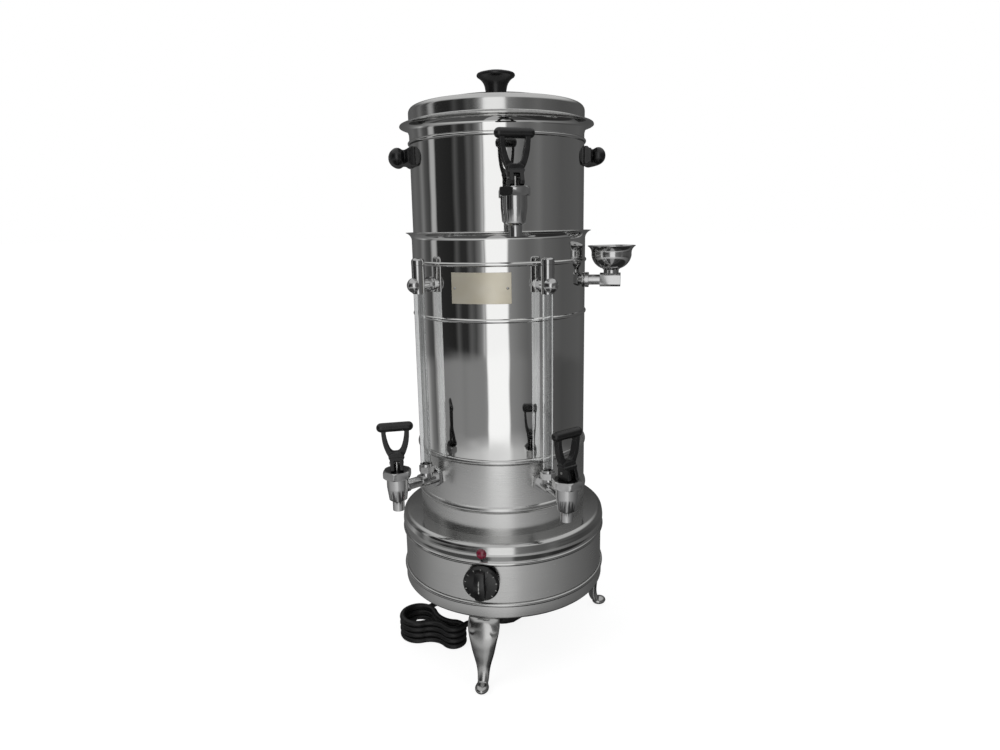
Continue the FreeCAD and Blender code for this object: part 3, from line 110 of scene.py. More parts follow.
# object coordinates squeezed so that noise on them runs in lines round the urn's axis
def latheVector(tree, place, around, along):
    axes = addNode(tree, "ShaderNodeSeparateXYZ", {}, {0: place})
    flat = addNode(tree, "ShaderNodeCombineXYZ", {}, {0: axes.outputs[0], 1: axes.outputs[1]})
    radius = addNode(tree, "ShaderNodeVectorMath", {"operation": "LENGTH"}, {0: flat.outputs[0]})
    reach = addNode(tree, "ShaderNodeMath", {"operation": "ADD"},
                    {0: radius.outputs["Value"], 1: axes.outputs[2]})
    line = addNode(tree, "ShaderNodeMath", {"operation": "MULTIPLY", 1: along}, {0: reach.outputs[0]})
    sides = addNode(tree, "ShaderNodeVectorMath", {"operation": "SCALE", "Scale": around},
                    {0: flat.outputs[0]})
    parts = addNode(tree, "ShaderNodeSeparateXYZ", {}, {0: sides.outputs[0]})
    joined = addNode(tree, "ShaderNodeCombineXYZ", {},
                     {0: parts.outputs[0], 1: parts.outputs[1], 2: line.outputs[0]})
    return joined.outputs[0]


noiseRange = {"From Min": 0.3, "From Max": 0.7}  # values that noise seldom leaves


# a material from its look. Its patterns are noises on object coordinates: "size" is the width of a
# lump in mm, "lathe" draws lumps out into lines round the urn's axis, and "stretch" into straight
# ones. "rough" gives the range and the share of each pattern in it, "shade" two colours and where
# they lie, and "relief" a pattern with its depth in mm and its strength
def newMaterial(look):
    material = bpy.data.materials.new(look["name"])
    material.use_nodes = True
    tree = material.node_tree
    tree.nodes.clear()
    shade = hexColor(look["color"])
    shader = addNode(tree, "ShaderNodeBsdfPrincipled", {"Base Color": shade, **look["shader"]})
    addNode(tree, "ShaderNodeOutputMaterial", {}, {"Surface": shader.outputs[0]})
    material.diffuse_color = shade
    place = addNode(tree, "ShaderNodeTexCoord").outputs["Object"]
    patterns = {}
    for name, grain in look["patterns"].items():
        settings = {"Scale": 1.0, "Detail": grain.get("detail", 2.0), "Roughness": grain.get("fine", 0.5)}
        vector = place
        if "lathe" in grain:
            vector = latheVector(tree, place, grain["lathe"], 1 / (grain["size"] * mm))
        elif "stretch" in grain:
            vector = addNode(tree, "ShaderNodeVectorMath", {"operation": "MULTIPLY", 1: grain["stretch"]},
                             {0: place}).outputs[0]
        else:
            settings["Scale"] = 1 / (grain["size"] * mm)
        patterns[name] = addNode(tree, "ShaderNodeTexNoise", settings, {"Vector": vector}).outputs["Fac"]
    low, high, shares = look["rough"]
    sumSoFar = {}
    for name, share in shares.items():
        step = addNode(tree, "ShaderNodeMath", {"operation": "MULTIPLY_ADD", 1: share, 2: 0.0},
                       {0: patterns[name], **sumSoFar})
        sumSoFar = {2: step.outputs[0]}
    rough = addNode(tree, "ShaderNodeMapRange", {**noiseRange, "To Min": low, "To Max": high},
                    {"Value": sumSoFar[2]})
    tree.links.new(rough.outputs[0], shader.inputs["Roughness"])
    if "shade" in look:
        name, *stops = look["shade"]
        tones = addNode(tree, "ShaderNodeValToRGB", {"stops": [(at, hexColor(code)) for at, code in stops]},
                        {"Fac": patterns[name]})
        tree.links.new(tones.outputs[0], shader.inputs["Base Color"])
    if "relief" in look:
        name, depth, strength = look["relief"]
        raised = addNode(tree, "ShaderNodeBump", {"Strength": strength, "Distance": depth * mm},
                         {"Height": patterns[name]})
        tree.links.new(raised.outputs[0], shader.inputs["Normal"])
    if look.get("turned"):
        tangent = addNode(tree, "ShaderNodeTangent", {"direction_type": "RADIAL", "axis": "Z"})
        tree.links.new(tangent.outputs[0], shader.inputs["Tangent"])
    return material


# stainless sheet, rolled, then polished with a mop: a mirror that bends reflections a little,
# with faint mop lines round the shell and hand marks that dull it in patches
mirrorSteel = {
    "name": "polishedStainlessSheet", "color": "#DADAD9", "shader": {"Metallic": 1.0},
    "patterns": {"lines": {"size": 1.6, "lathe": 9, "detail": 3.0},
                 "smudges": {"size": 45, "detail": 3.0, "fine": 0.6},
                 "waves": {"size": 34, "detail": 1.0, "fine": 0.4}},
    "rough": (0.025, 0.08, {"lines": 0.35, "smudges": 0.65}),
    "relief": ("waves", 0.28, 0.6),
}
# stainless sheet turned against an abrasive belt: satin, with lines round the axis that stretch
# highlights upright; the lid, the cover and the base's sides are rubbed less or more. The cover and
# the base's sides are also given a darker colour than the satin sheet, which is painted shade
satinSteel = {
    "name": "satinStainlessSheet", "color": "#CDCDCC", "shader": {"Metallic": 1.0, "Anisotropic": 0.55},
    "patterns": {"lines": {"size": 0.7, "lathe": 14, "detail": 4.0, "fine": 0.65}, "patches": {"size": 38}},
    "rough": (0.2, 0.31, {"lines": 0.5, "patches": 0.5}),
    "relief": ("lines", 0.006, 0.6),
    "turned": True,
}
lidSheet = {**satinSteel, "name": "finelyRubbedLidSheet", "color": "#CACAC9",
            "rough": (0.09, 0.16, {"lines": 0.5, "patches": 0.5})}
# painted shade: the cover's colour is darker than the satin sheet's, standing in for the shade on it
coverSheetPaintedShade = {**satinSteel, "name": "rubbedCoverSheetPaintedShade", "color": "#C0C0BF",
              "rough": (0.08, 0.15, {"lines": 0.5, "patches": 0.5})}
# painted shade: the base's colour is darker than the satin sheet's, standing in for the shade on its sides
baseSheetPaintedShade = {**satinSteel, "name": "softSatinBaseSheetPaintedShade", "color": "#C6C6C5",
             "rough": (0.19, 0.29, {"lines": 0.5, "patches": 0.5})}
# turned brass under bright chrome plate: hard and clean, with slight orange peel from buffing
chromePlate = {
    "name": "chromePlatedBrass", "color": "#BDBDBD", "shader": {"Metallic": 1.0},
    "patterns": {"dull": {"size": 9, "detail": 3.0}, "peel": {"size": 3.2, "detail": 1.0}},
    "rough": (0.06, 0.17, {"dull": 1.0}),
    "relief": ("peel", 0.03, 0.5),
}
# sand cast aluminium, fettled and buffed by hand: soft edges, cloudy shine
castAluminium = {
    "name": "buffedCastAluminium", "color": "#B5B5B4", "shader": {"Metallic": 1.0},
    "patterns": {"clouds": {"size": 9, "detail": 3.0}, "waves": {"size": 7, "detail": 1.0}},
    "rough": (0.17, 0.26, {"clouds": 1.0}),
    "relief": ("waves", 0.03, 0.4),
}
# phenolic resin pressed in a polished mould: near black, glossy, gone slightly grey where hands rub it
blackBakelite = {
    "name": "pressedPhenolic", "color": "#141415", "shader": {"IOR": 1.55},
    "patterns": {"worn": {"size": 11, "detail": 4.0, "fine": 0.6}, "skin": {"size": 0.9}},
    "rough": (0.22, 0.38, {"worn": 1.0}),
    "shade": ("worn", (0.35, "#0A0A0B"), (0.75, "#171718")),
    "relief": ("skin", 0.02, 0.4),
}
# soft PVC sheath: matt black with a fine leathery grain from the extruder
blackSheath = {
    "name": "pvcSheath", "color": "#111112", "shader": {"IOR": 1.5},
    "patterns": {"grain": {"size": 1.1, "detail": 3.0, "fine": 0.6}, "scuffs": {"size": 14}},
    "rough": (0.4, 0.58, {"grain": 1.0}),
    "shade": ("scuffs", (0.3, "#080809"), (0.75, "#131314")),
    "relief": ("grain", 0.05, 0.6),
}
# nitrile seal rubber: dull, slightly brown black
sealRubber = {
    "name": "nitrileRubber", "color": "#1B1918", "shader": {"IOR": 1.52},
    "patterns": {"grain": {"size": 0.8}},
    "rough": (0.6, 0.8, {"grain": 1.0}),
    "relief": ("grain", 0.03, 0.5),
}
# moulded lens over a neon lamp: dark red while unlit, with a wet shine
redLens = {
    "name": "acrylicLens", "color": "#6A0E16",
    "shader": {"IOR": 1.49, "Coat Weight": 0.6, "Coat Roughness": 0.05},
    "patterns": {"deep": {"size": 3}},
    "rough": (0.12, 0.24, {"deep": 1.0}),
    "shade": ("deep", (0.3, "#560C1C"), (0.75, "#8C2440")),
}
# drawn borosilicate tube, fire polished by the drawing: clear, with wide faint draw lines along it
clearGlass = {
    "name": "drawnGlassTube", "color": "#FDFEFE", "shader": {"IOR": 1.47, "Transmission Weight": 1.0},
    "patterns": {"drawLines": {"stretch": (240, 240, 6), "detail": 1.0}},
    "rough": (0.0, 0.03, {"drawLines": 1.0}),
}
# thin lacquered plate, pale gold, left bare: fine straight brushing under the lacquer
platePlain = {
    "name": "lacqueredPlate", "color": "#CFC8B6",
    "shader": {"Metallic": 0.55, "Coat Weight": 0.3, "Coat Roughness": 0.15},
    "patterns": {"brushing": {"stretch": (60, 60, 1600), "detail": 3.0}, "tint": {"size": 40}},
    "rough": (0.3, 0.46, {"brushing": 1.0}),
    "shade": ("tint", (0.3, "#C8BFA8"), (0.75, "#D8D3C4")),
    "relief": ("brushing", 0.01, 0.5),
}
# zinc plated or plain bright steel on screws, rivets, stems and springs
brightSteel = {
    "name": "brightTurnedSteel", "color": "#BDBDBC", "shader": {"Metallic": 1.0},
    "patterns": {"dull": {"size": 4, "detail": 3.0}, "skin": {"size": 0.7}},
    "rough": (0.18, 0.34, {"dull": 1.0}),
    "relief": ("skin", 0.01, 0.5),
}
# glass filled nylon of the thermostat's case: grey black, dry
nylonCase = {
    "name": "filledNylon", "color": "#2A2A2B", "shader": {"IOR": 1.53},
    "patterns": {"grain": {"size": 0.6}},
    "rough": (0.5, 0.66, {"grain": 1.0}),
    "relief": ("grain", 0.03, 0.5),
}
# white paint wiped into the moulded lines of the knob, worn thin in places
wipedPaint = {
    "name": "wipedWhitePaint", "color": "#B9B9B6", "shader": {"IOR": 1.5},
    "patterns": {"worn": {"size": 2.2, "detail": 3.0}},
    "rough": (0.45, 0.65, {"worn": 1.0}),
    "shade": ("worn", (0.35, "#6F6F6D"), (0.65, "#B4B4B1")),
}

finish = {slot: newMaterial(look) for slot, look in {
    "polished_steel": mirrorSteel,
    "satin_steel": satinSteel,
    "chrome_brass": chromePlate,
    "cast_aluminium": castAluminium,
    "black_bakelite": blackBakelite,
    "black_rubber": blackSheath,
    "seal_rubber": sealRubber,
    "red_lens": redLens,
    "clear_glass": clearGlass,
    "plate_metal": platePlain,
    "zinc_steel": brightSteel,
    "dark_plastic": nylonCase,
}.items()}
# the cover and base sheets carry painted shade in their darker colours
whitePaint, lidSteel, coverSteelPaintedShade, baseSteelPaintedShade = (
    newMaterial(look) for look in (wipedPaint, lidSheet, coverSheetPaintedShade, baseSheetPaintedShade))
slotOf = {part["node"]: part["material_slot"] for part in frame["record"]["subparts"]}
bodyOf = {node: body for body, nodes in frame["record"]["behaviour"]["bodies"].items() for node in nodes}
print("materials made:", len(bpy.data.materials))


# lead: one smooth line down from its gland, along the worktop, through the hank and into the plug
lead = {
    "diameter": 7,
    "length": 960,
    "route": [(-58, 60, 55), (-58, 60, 36), (-64, 56, 17), (-79, 46, 5), (-96, 31, 3.6),
              (-109, 12.5, 3.6), (-116.7, -7.75, 3.6), (-122.02, -29.1, 3.6)],
    "hankCentre": (-103.5, -42),
    "hankTurn": -14,
    "layers": 4,
    "layerRise": 7.8,
    "lowest": 3.6,
    "foldWide": 21,
    "foldNarrow": 12.5,
    "waistBend": 26,
    "waistHalf": 8,
    "leaveAngle": -20,
    "plugHeight": 11,
    # mm past the hank, share of the fall to the plug
    "tail": [(3, 0), (13, 0), (23, 0.16), (32, 0.84), (43, 1), (51, 1)],
    "climb": (0.22, 0.79),  # shares of a layer's rise before and after the rear waist
}


# control points round the folds and waists, climbing a layer along each rear waist
def hankPoints(p):
    depth = p["waistHalf"] + p["waistBend"]
    waist = math.sqrt((p["foldWide"] + p["waistBend"]) ** 2 - depth ** 2)
    narrow = waist + math.sqrt((p["foldNarrow"] + p["waistBend"]) ** 2 - depth ** 2)
    wideTurn = math.atan2(depth, waist)
    narrowTurn = math.atan2(depth, waist - narrow)
    points = []

    def around(centre, side, radius, first, last, count, low, high):
        swell = 1 / math.cos((last - first) / count / 2)  # the spline cuts inside its points by as much
        for i in range(count):
            share = (i + 0.5) / count
            turn = first + (last - first) * share
            points.append((centre + radius * swell * math.cos(turn), side + radius * swell * math.sin(turn),
                           low + (high - low) * share))

    low, rise = p["lowest"], p["layerRise"]
    early, late = p["climb"]
    for layer in range(p["layers"]):
        around(0, 0, p["foldWide"], math.pi, 2 * math.pi - wideTurn, 6, low, low)
        around(waist, -depth, p["waistBend"], math.pi - wideTurn, math.pi - narrowTurn, 4, low, low)
        if layer == p["layers"] - 1:
            break
        around(narrow, 0, p["foldNarrow"], -narrowTurn, 0, 4, low, low)
        around(narrow, 0, p["foldNarrow"], 0, narrowTurn, 4, low, low + rise * early)
        around(waist, depth, p["waistBend"], narrowTurn - math.pi, wideTurn - math.pi, 4,
               low + rise * early, low + rise * late)
        around(0, 0, p["foldWide"], wideTurn, math.pi, 6, low + rise * late, low + rise)
        low = low + rise
    leave = math.radians(p["leaveAngle"])
    around(narrow, 0, p["foldNarrow"], -narrowTurn, leave, 3, low, low)
    way = Vector((-math.sin(leave), math.cos(leave)))
    start = Vector((narrow + p["foldNarrow"] * math.cos(leave), p["foldNarrow"] * math.sin(leave)))
    fall = low - p["plugHeight"]
    for reach, drop in p["tail"]:
        points.append((start.x + way.x * reach, start.y + way.y * reach, low - fall * drop))
    turn = Matrix.Rotation(math.radians(p["hankTurn"]), 2)
    placed = []
    for along, across, height in points:
        spot = turn @ Vector((along, across)) + Vector(p["hankCentre"])
        placed.append((spot.x, spot.y, height))
    return placed


def makeLead(p):
    points = p["route"][:-1] + hankPoints(p)
    data = bpy.data.curves.new("mains_cord", "CURVE")
    data.dimensions = "3D"
    spline = data.splines.new("NURBS")
    spline.points.add(len(points) - 1)
    for item, (x, y, z) in zip(spline.points, points):
        item.co = (x * mm, y * mm, z * mm, 1)
    spline.order_u = 3
    spline.use_endpoint_u = True
    spline.resolution_u = 6
    data.bevel_depth = p["diameter"] / 2 * mm
    data.bevel_resolution = 6
    data.use_fill_caps = True
    data.materials.append(finish["black_rubber"])
    cord = bpy.data.objects.new("mains_cord", data)
    bpy.context.scene.collection.objects.link(cord)
    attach(cord, "root")
    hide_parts("mains_lead", "lead_hank")
    return cord


mainsCord = makeLead(lead)
print("lead laid")


# pieces from outlines: corners are (radius, height) in mm, or (radius, height, bend) where the
# edge to the next corner is an arc, turning left for a positive bend


def arcPoints(start, end, bend, count):
    chord = end - start
    radius = max(abs(bend), chord.length / 2)
    rise = math.sqrt(max(radius ** 2 - chord.length ** 2 / 4, 0))
    left = Vector((-chord.y, chord.x)).normalized()
    side = 1 if bend > 0 else -1
    centre = (start + end) / 2 + left * rise * side
    begin = math.atan2(start.y - centre.y, start.x - centre.x)
    turn = math.atan2(end.y - centre.y, end.x - centre.x) - begin
    turn = (turn * side) % (2 * math.pi) * side
    return [centre + Vector((math.cos(begin + turn * i / count), math.sin(begin + turn * i / count))) * radius
            for i in range(count)]


def outlinePoints(corners, arcStep=0.14):
    points = []
    for i, corner in enumerate(corners):
        start = Vector(corner[:2])
        end = Vector(corners[(i + 1) % len(corners)][:2])
        if len(corner) == 3:
            half = min(1, (end - start).length / 2 / abs(corner[2]))
            count = max(3, int(2 * math.asin(half) / arcStep) + 1)
            points += arcPoints(start, end, corner[2], count)
        else:
            points.append(start)
    return points


# a mesh on a node's body with its finish, its edges sharp from an angle in degrees
def finishPiece(mesh, name, node, slot=None, sharp=32, material=None):
    piece = bpy.data.objects.new(name, mesh)
    bpy.context.scene.collection.objects.link(piece)
    slot = slot or slotOf[node]
    mesh.materials.clear()
    mesh.materials.append(material or finish[slot])
    mesh.shade_smooth()
    mesh.set_sharp_from_angle(angle=math.radians(sharp))
    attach(piece, bodyOf[node])
    return piece


# faces between each ring of points and the next; a ring of one point closes the end
def joinRings(shape, rings):
    for one, two in zip(rings, rings[1:]):
        count = max(len(one), len(two))
        for i in range(count if count > 1 else 0):
            j = (i + 1) % count
            face = [one[i % len(one)], one[j % len(one)], two[j % len(two)], two[i % len(two)]]
            shape.faces.new([vert for k, vert in enumerate(face) if vert not in face[:k]])


# a closed solid of revolution about an upright axis
def spunMesh(name, corners, steps=256, axis=(0, 0)):
    shape = bmesh.new()
    rings = []
    for x, z in outlinePoints(corners):
        if x < 1e-6:
            rings.append([shape.verts.new((axis[0] * mm, axis[1] * mm, z * mm))])
            continue
        rings.append([shape.verts.new(((axis[0] + x * math.cos(2 * math.pi * i / steps)) * mm,
                                       (axis[1] + x * math.sin(2 * math.pi * i / steps)) * mm, z * mm))
                      for i in range(steps)])
    joinRings(shape, rings + rings[:1])
    bmesh.ops.recalc_face_normals(shape, faces=shape.faces)
    mesh = bpy.data.meshes.new(name)
    shape.to_mesh(mesh)
    shape.free()
    return mesh


def spun(name, node, corners, axis=(0, 0), steps=256, **more):
    piece = finishPiece(spunMesh(name, corners, steps, axis), name, node, **more)
    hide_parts(node)


# radius of an arc that rises so far over a run from its level point
def arcRadius(run, rise):
    return (run * run + rise * rise) / (rise * 2)


def beadCorners(radius, height, rise, width, inward=False):
    half = width / 2
    bend = arcRadius(half, rise)
    if inward:
        return [(radius, height + half, -bend), (radius, height - half)]
    return [(radius, height - half, bend), (radius, height + half)]


def lowHigh(node):
    low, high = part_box(node)
    return low / mm, high / mm


# tank, its skirt and the well: sizes from the frame, beads as swaged in the sheet
tank = {"gauge": 0.9, "radius": 100, "flare": 6.4, "flareDepth": 8.5, "beadLow": 413.8, "beadHigh": 472.4,
        "beadRise": 1.5, "beadWidth": 4.6, "ledge": 470, "ledgeWidth": 7, "floorBend": 2, "rimEdge": 0.3}


def makeTank(t):
    low, high = lowHigh("tank_shell")
    radius, gauge = t["radius"], t["gauge"]
    inner = radius - gauge
    bottom, top = low.z, high.z
    edge = top - t["flareDepth"]
    bend = arcRadius(t["flareDepth"], t["flare"])
    lip = radius + t["flare"]
    floor = t["floorBend"]
    outline = [(0, bottom), (radius - floor, bottom, floor), (radius, bottom + floor)]
    outline += beadCorners(radius, t["beadLow"], t["beadRise"], t["beadWidth"])
    outline += beadCorners(radius, t["beadHigh"], t["beadRise"], t["beadWidth"])
    outline += [(radius, edge, -bend), (lip, top - t["rimEdge"], gauge / 2), (lip - gauge, top, bend),
                (inner, edge)]
    outline += beadCorners(inner, t["beadHigh"], t["beadRise"], t["beadWidth"], True)
    outline += [(inner, t["ledge"]), (inner - t["ledgeWidth"], t["ledge"]),
                (inner - t["ledgeWidth"], t["ledge"] - gauge), (inner, t["ledge"] - gauge)]
    outline += beadCorners(inner, t["beadLow"], t["beadRise"], t["beadWidth"], True)
    outline += [(inner, bottom + floor), (inner - 1, bottom + gauge), (0, bottom + gauge)]
    spun("tank_body", "tank_shell", outline)


tankSkirt = {"gauge": 0.9, "inner": 100.1, "outer": 101, "top": 260.5, "beadHeight": 202.3, "beadRise": 2.1,
             "beadWidth": 8.5, "topBeadRise": 1.3, "topBeadWidth": 6}


def makeTankSkirt(s):
    bottom = lowHigh("tank_skirt")[0].z
    outline = [(s["inner"], bottom), (s["outer"], bottom)]
    outline += beadCorners(s["outer"], s["beadHeight"], s["beadRise"], s["beadWidth"])
    outline += beadCorners(s["outer"], s["top"] - s["topBeadWidth"] / 2, s["topBeadRise"], s["topBeadWidth"])
    outline += [(s["inner"], s["top"])]
    spun("tank_lower_skirt", "tank_skirt", outline)


pot = {"gauge": 0.9, "radius": 98, "flare": 10.4, "flareDepth": 10, "bead": 601.5, "beadRise": 1.9,
       "beadWidth": 4.6, "floorBend": 6, "rimEdge": 0.3}


def makePot(p):
    low, high = lowHigh("pot_shell")
    radius, gauge = p["radius"], p["gauge"]
    inner = radius - gauge
    bottom, top = low.z, high.z
    edge = top - p["flareDepth"]
    bend = arcRadius(p["flareDepth"], p["flare"])
    lip = radius + p["flare"]
    floor = p["floorBend"]
    outline = [(0, bottom), (radius - floor, bottom, floor), (radius, bottom + floor)]
    outline += beadCorners(radius, p["bead"], p["beadRise"], p["beadWidth"])
    outline += [(radius, edge, -bend), (lip, top - p["rimEdge"], gauge / 2), (lip - gauge, top, bend),
                (inner, edge)]
    outline += beadCorners(inner, p["bead"], p["beadRise"], p["beadWidth"], True)
    outline += [(inner, bottom + floor, gauge - floor), (radius - floor, bottom + gauge), (0, bottom + gauge)]
    spun("pot_body", "pot_shell", outline)


makeTank(tank)
makeTankSkirt(tankSkirt)
makePot(pot)
print("tank and pot spun")


# electric base: cover and pan with rolled beads, plain wall between them
base = {"gauge": 0.9, "radius": 123.8, "bead": 1.4, "beadDepth": 4.62, "coverBend": 6, "panBend": 2.5,
        "opening": 60, "play": 0.3, "coverSwell": 0.9, "swellDepth": 12}


# the upright side of cover or pan, with a rolled bead at its open edge
def skirtSide(b, low, high, beadAtTop):
    edge = b["beadDepth"]
    bend = arcRadius(edge / 2, b["bead"])
    if beadAtTop:
        return [(b["radius"], low), (b["radius"], high - edge, bend), (b["radius"], high)]
    return [(b["radius"], low, bend), (b["radius"], low + edge), (b["radius"], high)]


def makeBase(b):
    gauge, radius = b["gauge"], b["radius"]
    low, high = lowHigh("base_pan")
    bottom, top, bend = low.z, high.z, b["panBend"]
    outline = [(0, bottom), (radius - bend, bottom, bend)] + skirtSide(b, bottom + bend, top, True)
    outline += [(radius - gauge, top), (radius - gauge, bottom + bend, gauge - bend),
                (radius - bend, bottom + gauge), (0, bottom + gauge)]
    # the pan and the wall take the base sheet, whose darker colour is painted shade
    spun("base_underpan", "base_pan", outline, material=baseSteelPaintedShade)
    low, high = lowHigh("base_wall")
    outer = radius - gauge - b["play"]
    inner = outer - gauge
    spun("base_side", "base_wall", [(inner, low.z), (outer, low.z), (outer, high.z), (inner, high.z)],
         material=baseSteelPaintedShade)
    low, high = lowHigh("base_cover")
    bottom, top, bend = low.z, high.z, b["coverBend"]
    side = skirtSide(b, bottom, top - bend, False)
    swell = arcRadius(b["swellDepth"] / 2, b["coverSwell"])
    side[-1:] = [(b["radius"], top - bend - b["swellDepth"], swell), (b["radius"], top - bend, bend)]
    outline = [(b["opening"], top - gauge), (radius - bend, top - gauge, gauge - bend),
               (radius - gauge, top - bend), (radius - gauge, bottom)]
    outline += side + [(radius - bend, top), (b["opening"], top)]
    # the cover's sheet carries painted shade in its darker colour
    spun("base_top_cover", "base_cover", outline, material=coverSteelPaintedShade)


makeBase(base)
print("base made")


# lid: spun from one disc, its brim lying on the pot's flare, with a pressed knob screwed to it
lid = {"gauge": 0.9, "wall": 98.2, "wallRise": 10.3, "shoulder": 6.5, "brim": 107.8, "brimRise": 3.4,
       "brimRoot": 3, "brimEdge": 1.2, "rootBend": 1.2, "stud": 2.5}
lidKnob = {"rise": 27.5, "cap": 21, "brimHeight": 5, "brimRound": 2, "brimBend": 2.2, "brimUnder": 1.1,
           "brimOver": 0.9, "dome": 3, "neck": 12.5, "neckBend": 16, "under": 16.6, "foot": 10.6, "gap": 0.1}
lidScrew = {"head": 4.2, "thick": 2.2, "round": 1.8, "slope": 1.5, "edge": 0.6}


def makeLid(d, k, s):
    low, high = lowHigh("lid")
    gauge, wall, brim, seat, crown = d["gauge"], d["wall"], d["brim"], low.z, high.z
    brimTop = seat + d["brimRise"]
    wallTop = brimTop + d["wallRise"]
    inner, top = wall - d["shoulder"], wallTop + d["shoulder"]
    dome = arcRadius(inner, crown - top)
    outline = [(d["stud"], crown - gauge, gauge - dome), (inner, top - gauge, gauge - d["shoulder"]),
               (wall - gauge, wallTop), (wall - gauge, seat + d["brimRoot"]), (brim - d["brimEdge"], seat),
               (brim, seat, gauge / 2), (brim, seat + gauge), (wall + 1, brimTop - 0.3, -d["rootBend"]),
               (wall, brimTop + 0.8), (wall, wallTop, d["shoulder"]), (inner, top, dome), (d["stud"], crown)]
    spun("lid_shell", "lid", outline, material=lidSteel)
    top, foot = crown + k["rise"], crown + k["gap"]
    brim, over = top - k["brimHeight"], k["cap"] - k["brimOver"]
    spun("lid_knob_cap", "lid_knob",
         [(0, foot), (k["foot"], foot), (k["neck"], top - k["under"], -k["neckBend"]),
          (k["cap"] - k["brimUnder"], brim - k["brimRound"], k["brimBend"]),
          (over, brim + k["brimRound"], arcRadius(over, k["dome"])), (0, top)], steps=128)
    head = crown - gauge
    spun("lid_knob_screw", "lid_knob",
         [(0, head), (0, head - s["thick"]), (s["head"] - s["slope"], head - s["thick"], s["round"]),
          (s["head"], head - s["edge"]), (s["head"], head)], steps=64, slot="zinc_steel")


# funnel: a spun bowl with a rolled rim on a short turned neck; belly and bend are shares of the bowl
funnel = {"gauge": 0.9, "bowl": 22.4, "rim": 26.8, "rise": 38, "lip": 7.5, "neck": 8.5, "hollow": 3.6,
          "seat": 7.5, "footHeight": 3.5, "footRound": 1.5, "bellyRise": 2, "belly": 0.62, "bellyBend": 0.8,
          "rimEdge": 0.4}


def makeFunnelCup(f):
    low, high = lowHigh("funnel_cup")
    zero = high.z - f["rise"]
    gauge, bowl, neck, rise, lip, step = f["gauge"], f["bowl"], f["neck"], f["rise"], f["lip"], f["footRound"]
    foot = f["seat"] + f["footHeight"]
    flare = arcRadius(lip, f["rim"] - bowl)
    belly = foot + f["bellyRise"] + bowl * f["belly"]
    around = bowl * f["bellyBend"]
    outline = [(f["hollow"], f["seat"]), (neck, f["seat"]), (neck, foot), (neck + step, foot + step, around),
               (bowl, belly), (bowl, rise - lip, -flare), (f["rim"], rise - f["rimEdge"], gauge / 2),
               (f["rim"] - gauge, rise, flare), (bowl - gauge, rise - lip),
               (bowl - gauge, belly, gauge - around), (neck + 1, foot + 2.6), (f["hollow"], foot + step)]
    spun("funnel_bowl", "funnel_cup", [(c[0], c[1] + zero, *c[2:]) for c in outline],
         axis=((low.x + high.x) / 2, (low.y + high.y) / 2), steps=128)


# gauge tubes: their ends melted round in the fire
gaugeGlass = {"outside": 5.8, "wall": 1.4, "fire": 0.5}


def makeGaugeGlass(g, side):
    node = side + "_gauge_glass"
    low, high = lowHigh(node)
    outside, inside, fire = g["outside"], g["outside"] - g["wall"], g["fire"]
    outline = [(inside, low.z), (outside - fire, low.z, fire), (outside, low.z + fire),
               (outside, high.z - fire, fire), (outside - fire, high.z), (inside, high.z)]
    spun(side + "_gauge_tube", node, outline, axis=((low.x + high.x) / 2, (low.y + high.y) / 2), steps=96)


makeLid(lid, lidKnob, lidScrew)
makeFunnelCup(funnel)
for side in ("left", "right"):
    makeGaugeGlass(gaugeGlass, side)
print("lid, funnel and glasses spun")


weld = {"distance": 0.002, "flat": 0.6}  # mm, degrees


# a CAD piece with its facets joined: points merged and flat faces made one
def mergedCopy(node):
    mesh = frame["nodes"][node].data.copy()
    shape = bmesh.new()
    shape.from_mesh(mesh)
    bmesh.ops.remove_doubles(shape, verts=shape.verts, dist=weld["distance"] * mm)
    bmesh.ops.dissolve_limit(shape, angle_limit=math.radians(weld["flat"]), verts=shape.verts, edges=shape.edges)
    shape.to_mesh(mesh)
    shape.free()
    return mesh


# closed shapes joined on a fine grid and smoothed, so their edges are as round as a mould leaves them
def roundedMesh(mesh, grid, rounds):
    blank = bpy.data.objects.new("blank", mesh)
    bpy.context.scene.collection.objects.link(blank)
    join = blank.modifiers.new("join", "REMESH")
    join.mode = "VOXEL"
    join.voxel_size = grid * mm
    soften = blank.modifiers.new("soften", "SMOOTH")
    soften.factor = 0.5
    soften.iterations = rounds
    ready = blank.evaluated_get(bpy.context.evaluated_depsgraph_get())
    result = bpy.data.meshes.new_from_object(ready)
    bpy.data.objects.remove(blank)
    return result


def mouldedSkin(node, mesh, grid, rounds):
    piece = finishPiece(roundedMesh(mesh, grid, rounds), node + "_skin", node, sharp=180)
    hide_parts(node)


# cast legs: the shield at the top is full and round all over
leg = {"azimuths": {"leg_front": 0, "leg_right": 120, "leg_left": 240}, "root": 116, "shieldHeight": 67.5,
       "shieldHalf": (17.6, 6.7, 15), "shieldOut": 7.2, "grid": 0.8, "rounds": 14}


def makeLeg(g, node):
    shape = bmesh.new()
    shape.from_mesh(mergedCopy(node))
    facing = Matrix.Rotation(math.radians(g["azimuths"][node]), 4, "Z")
    centre = Vector((0, -g["root"] - g["shieldOut"], g["shieldHeight"])) * mm
    half = Matrix.Diagonal([reach * mm for reach in g["shieldHalf"]] + [1])
    bmesh.ops.create_uvsphere(shape, u_segments=48, v_segments=24, radius=1,
                              matrix=facing @ Matrix.Translation(centre) @ half)
    mesh = bpy.data.meshes.new(node)
    shape.to_mesh(mesh)
    shape.free()
    mouldedSkin(node, mesh, g["grid"], g["rounds"])


# side handles of the pot: pressed loops, a little fuller than they are long
ear = {"nodes": ("pot_handle_left", "pot_handle_right"), "fuller": 1.13, "grid": 0.55, "rounds": 7}


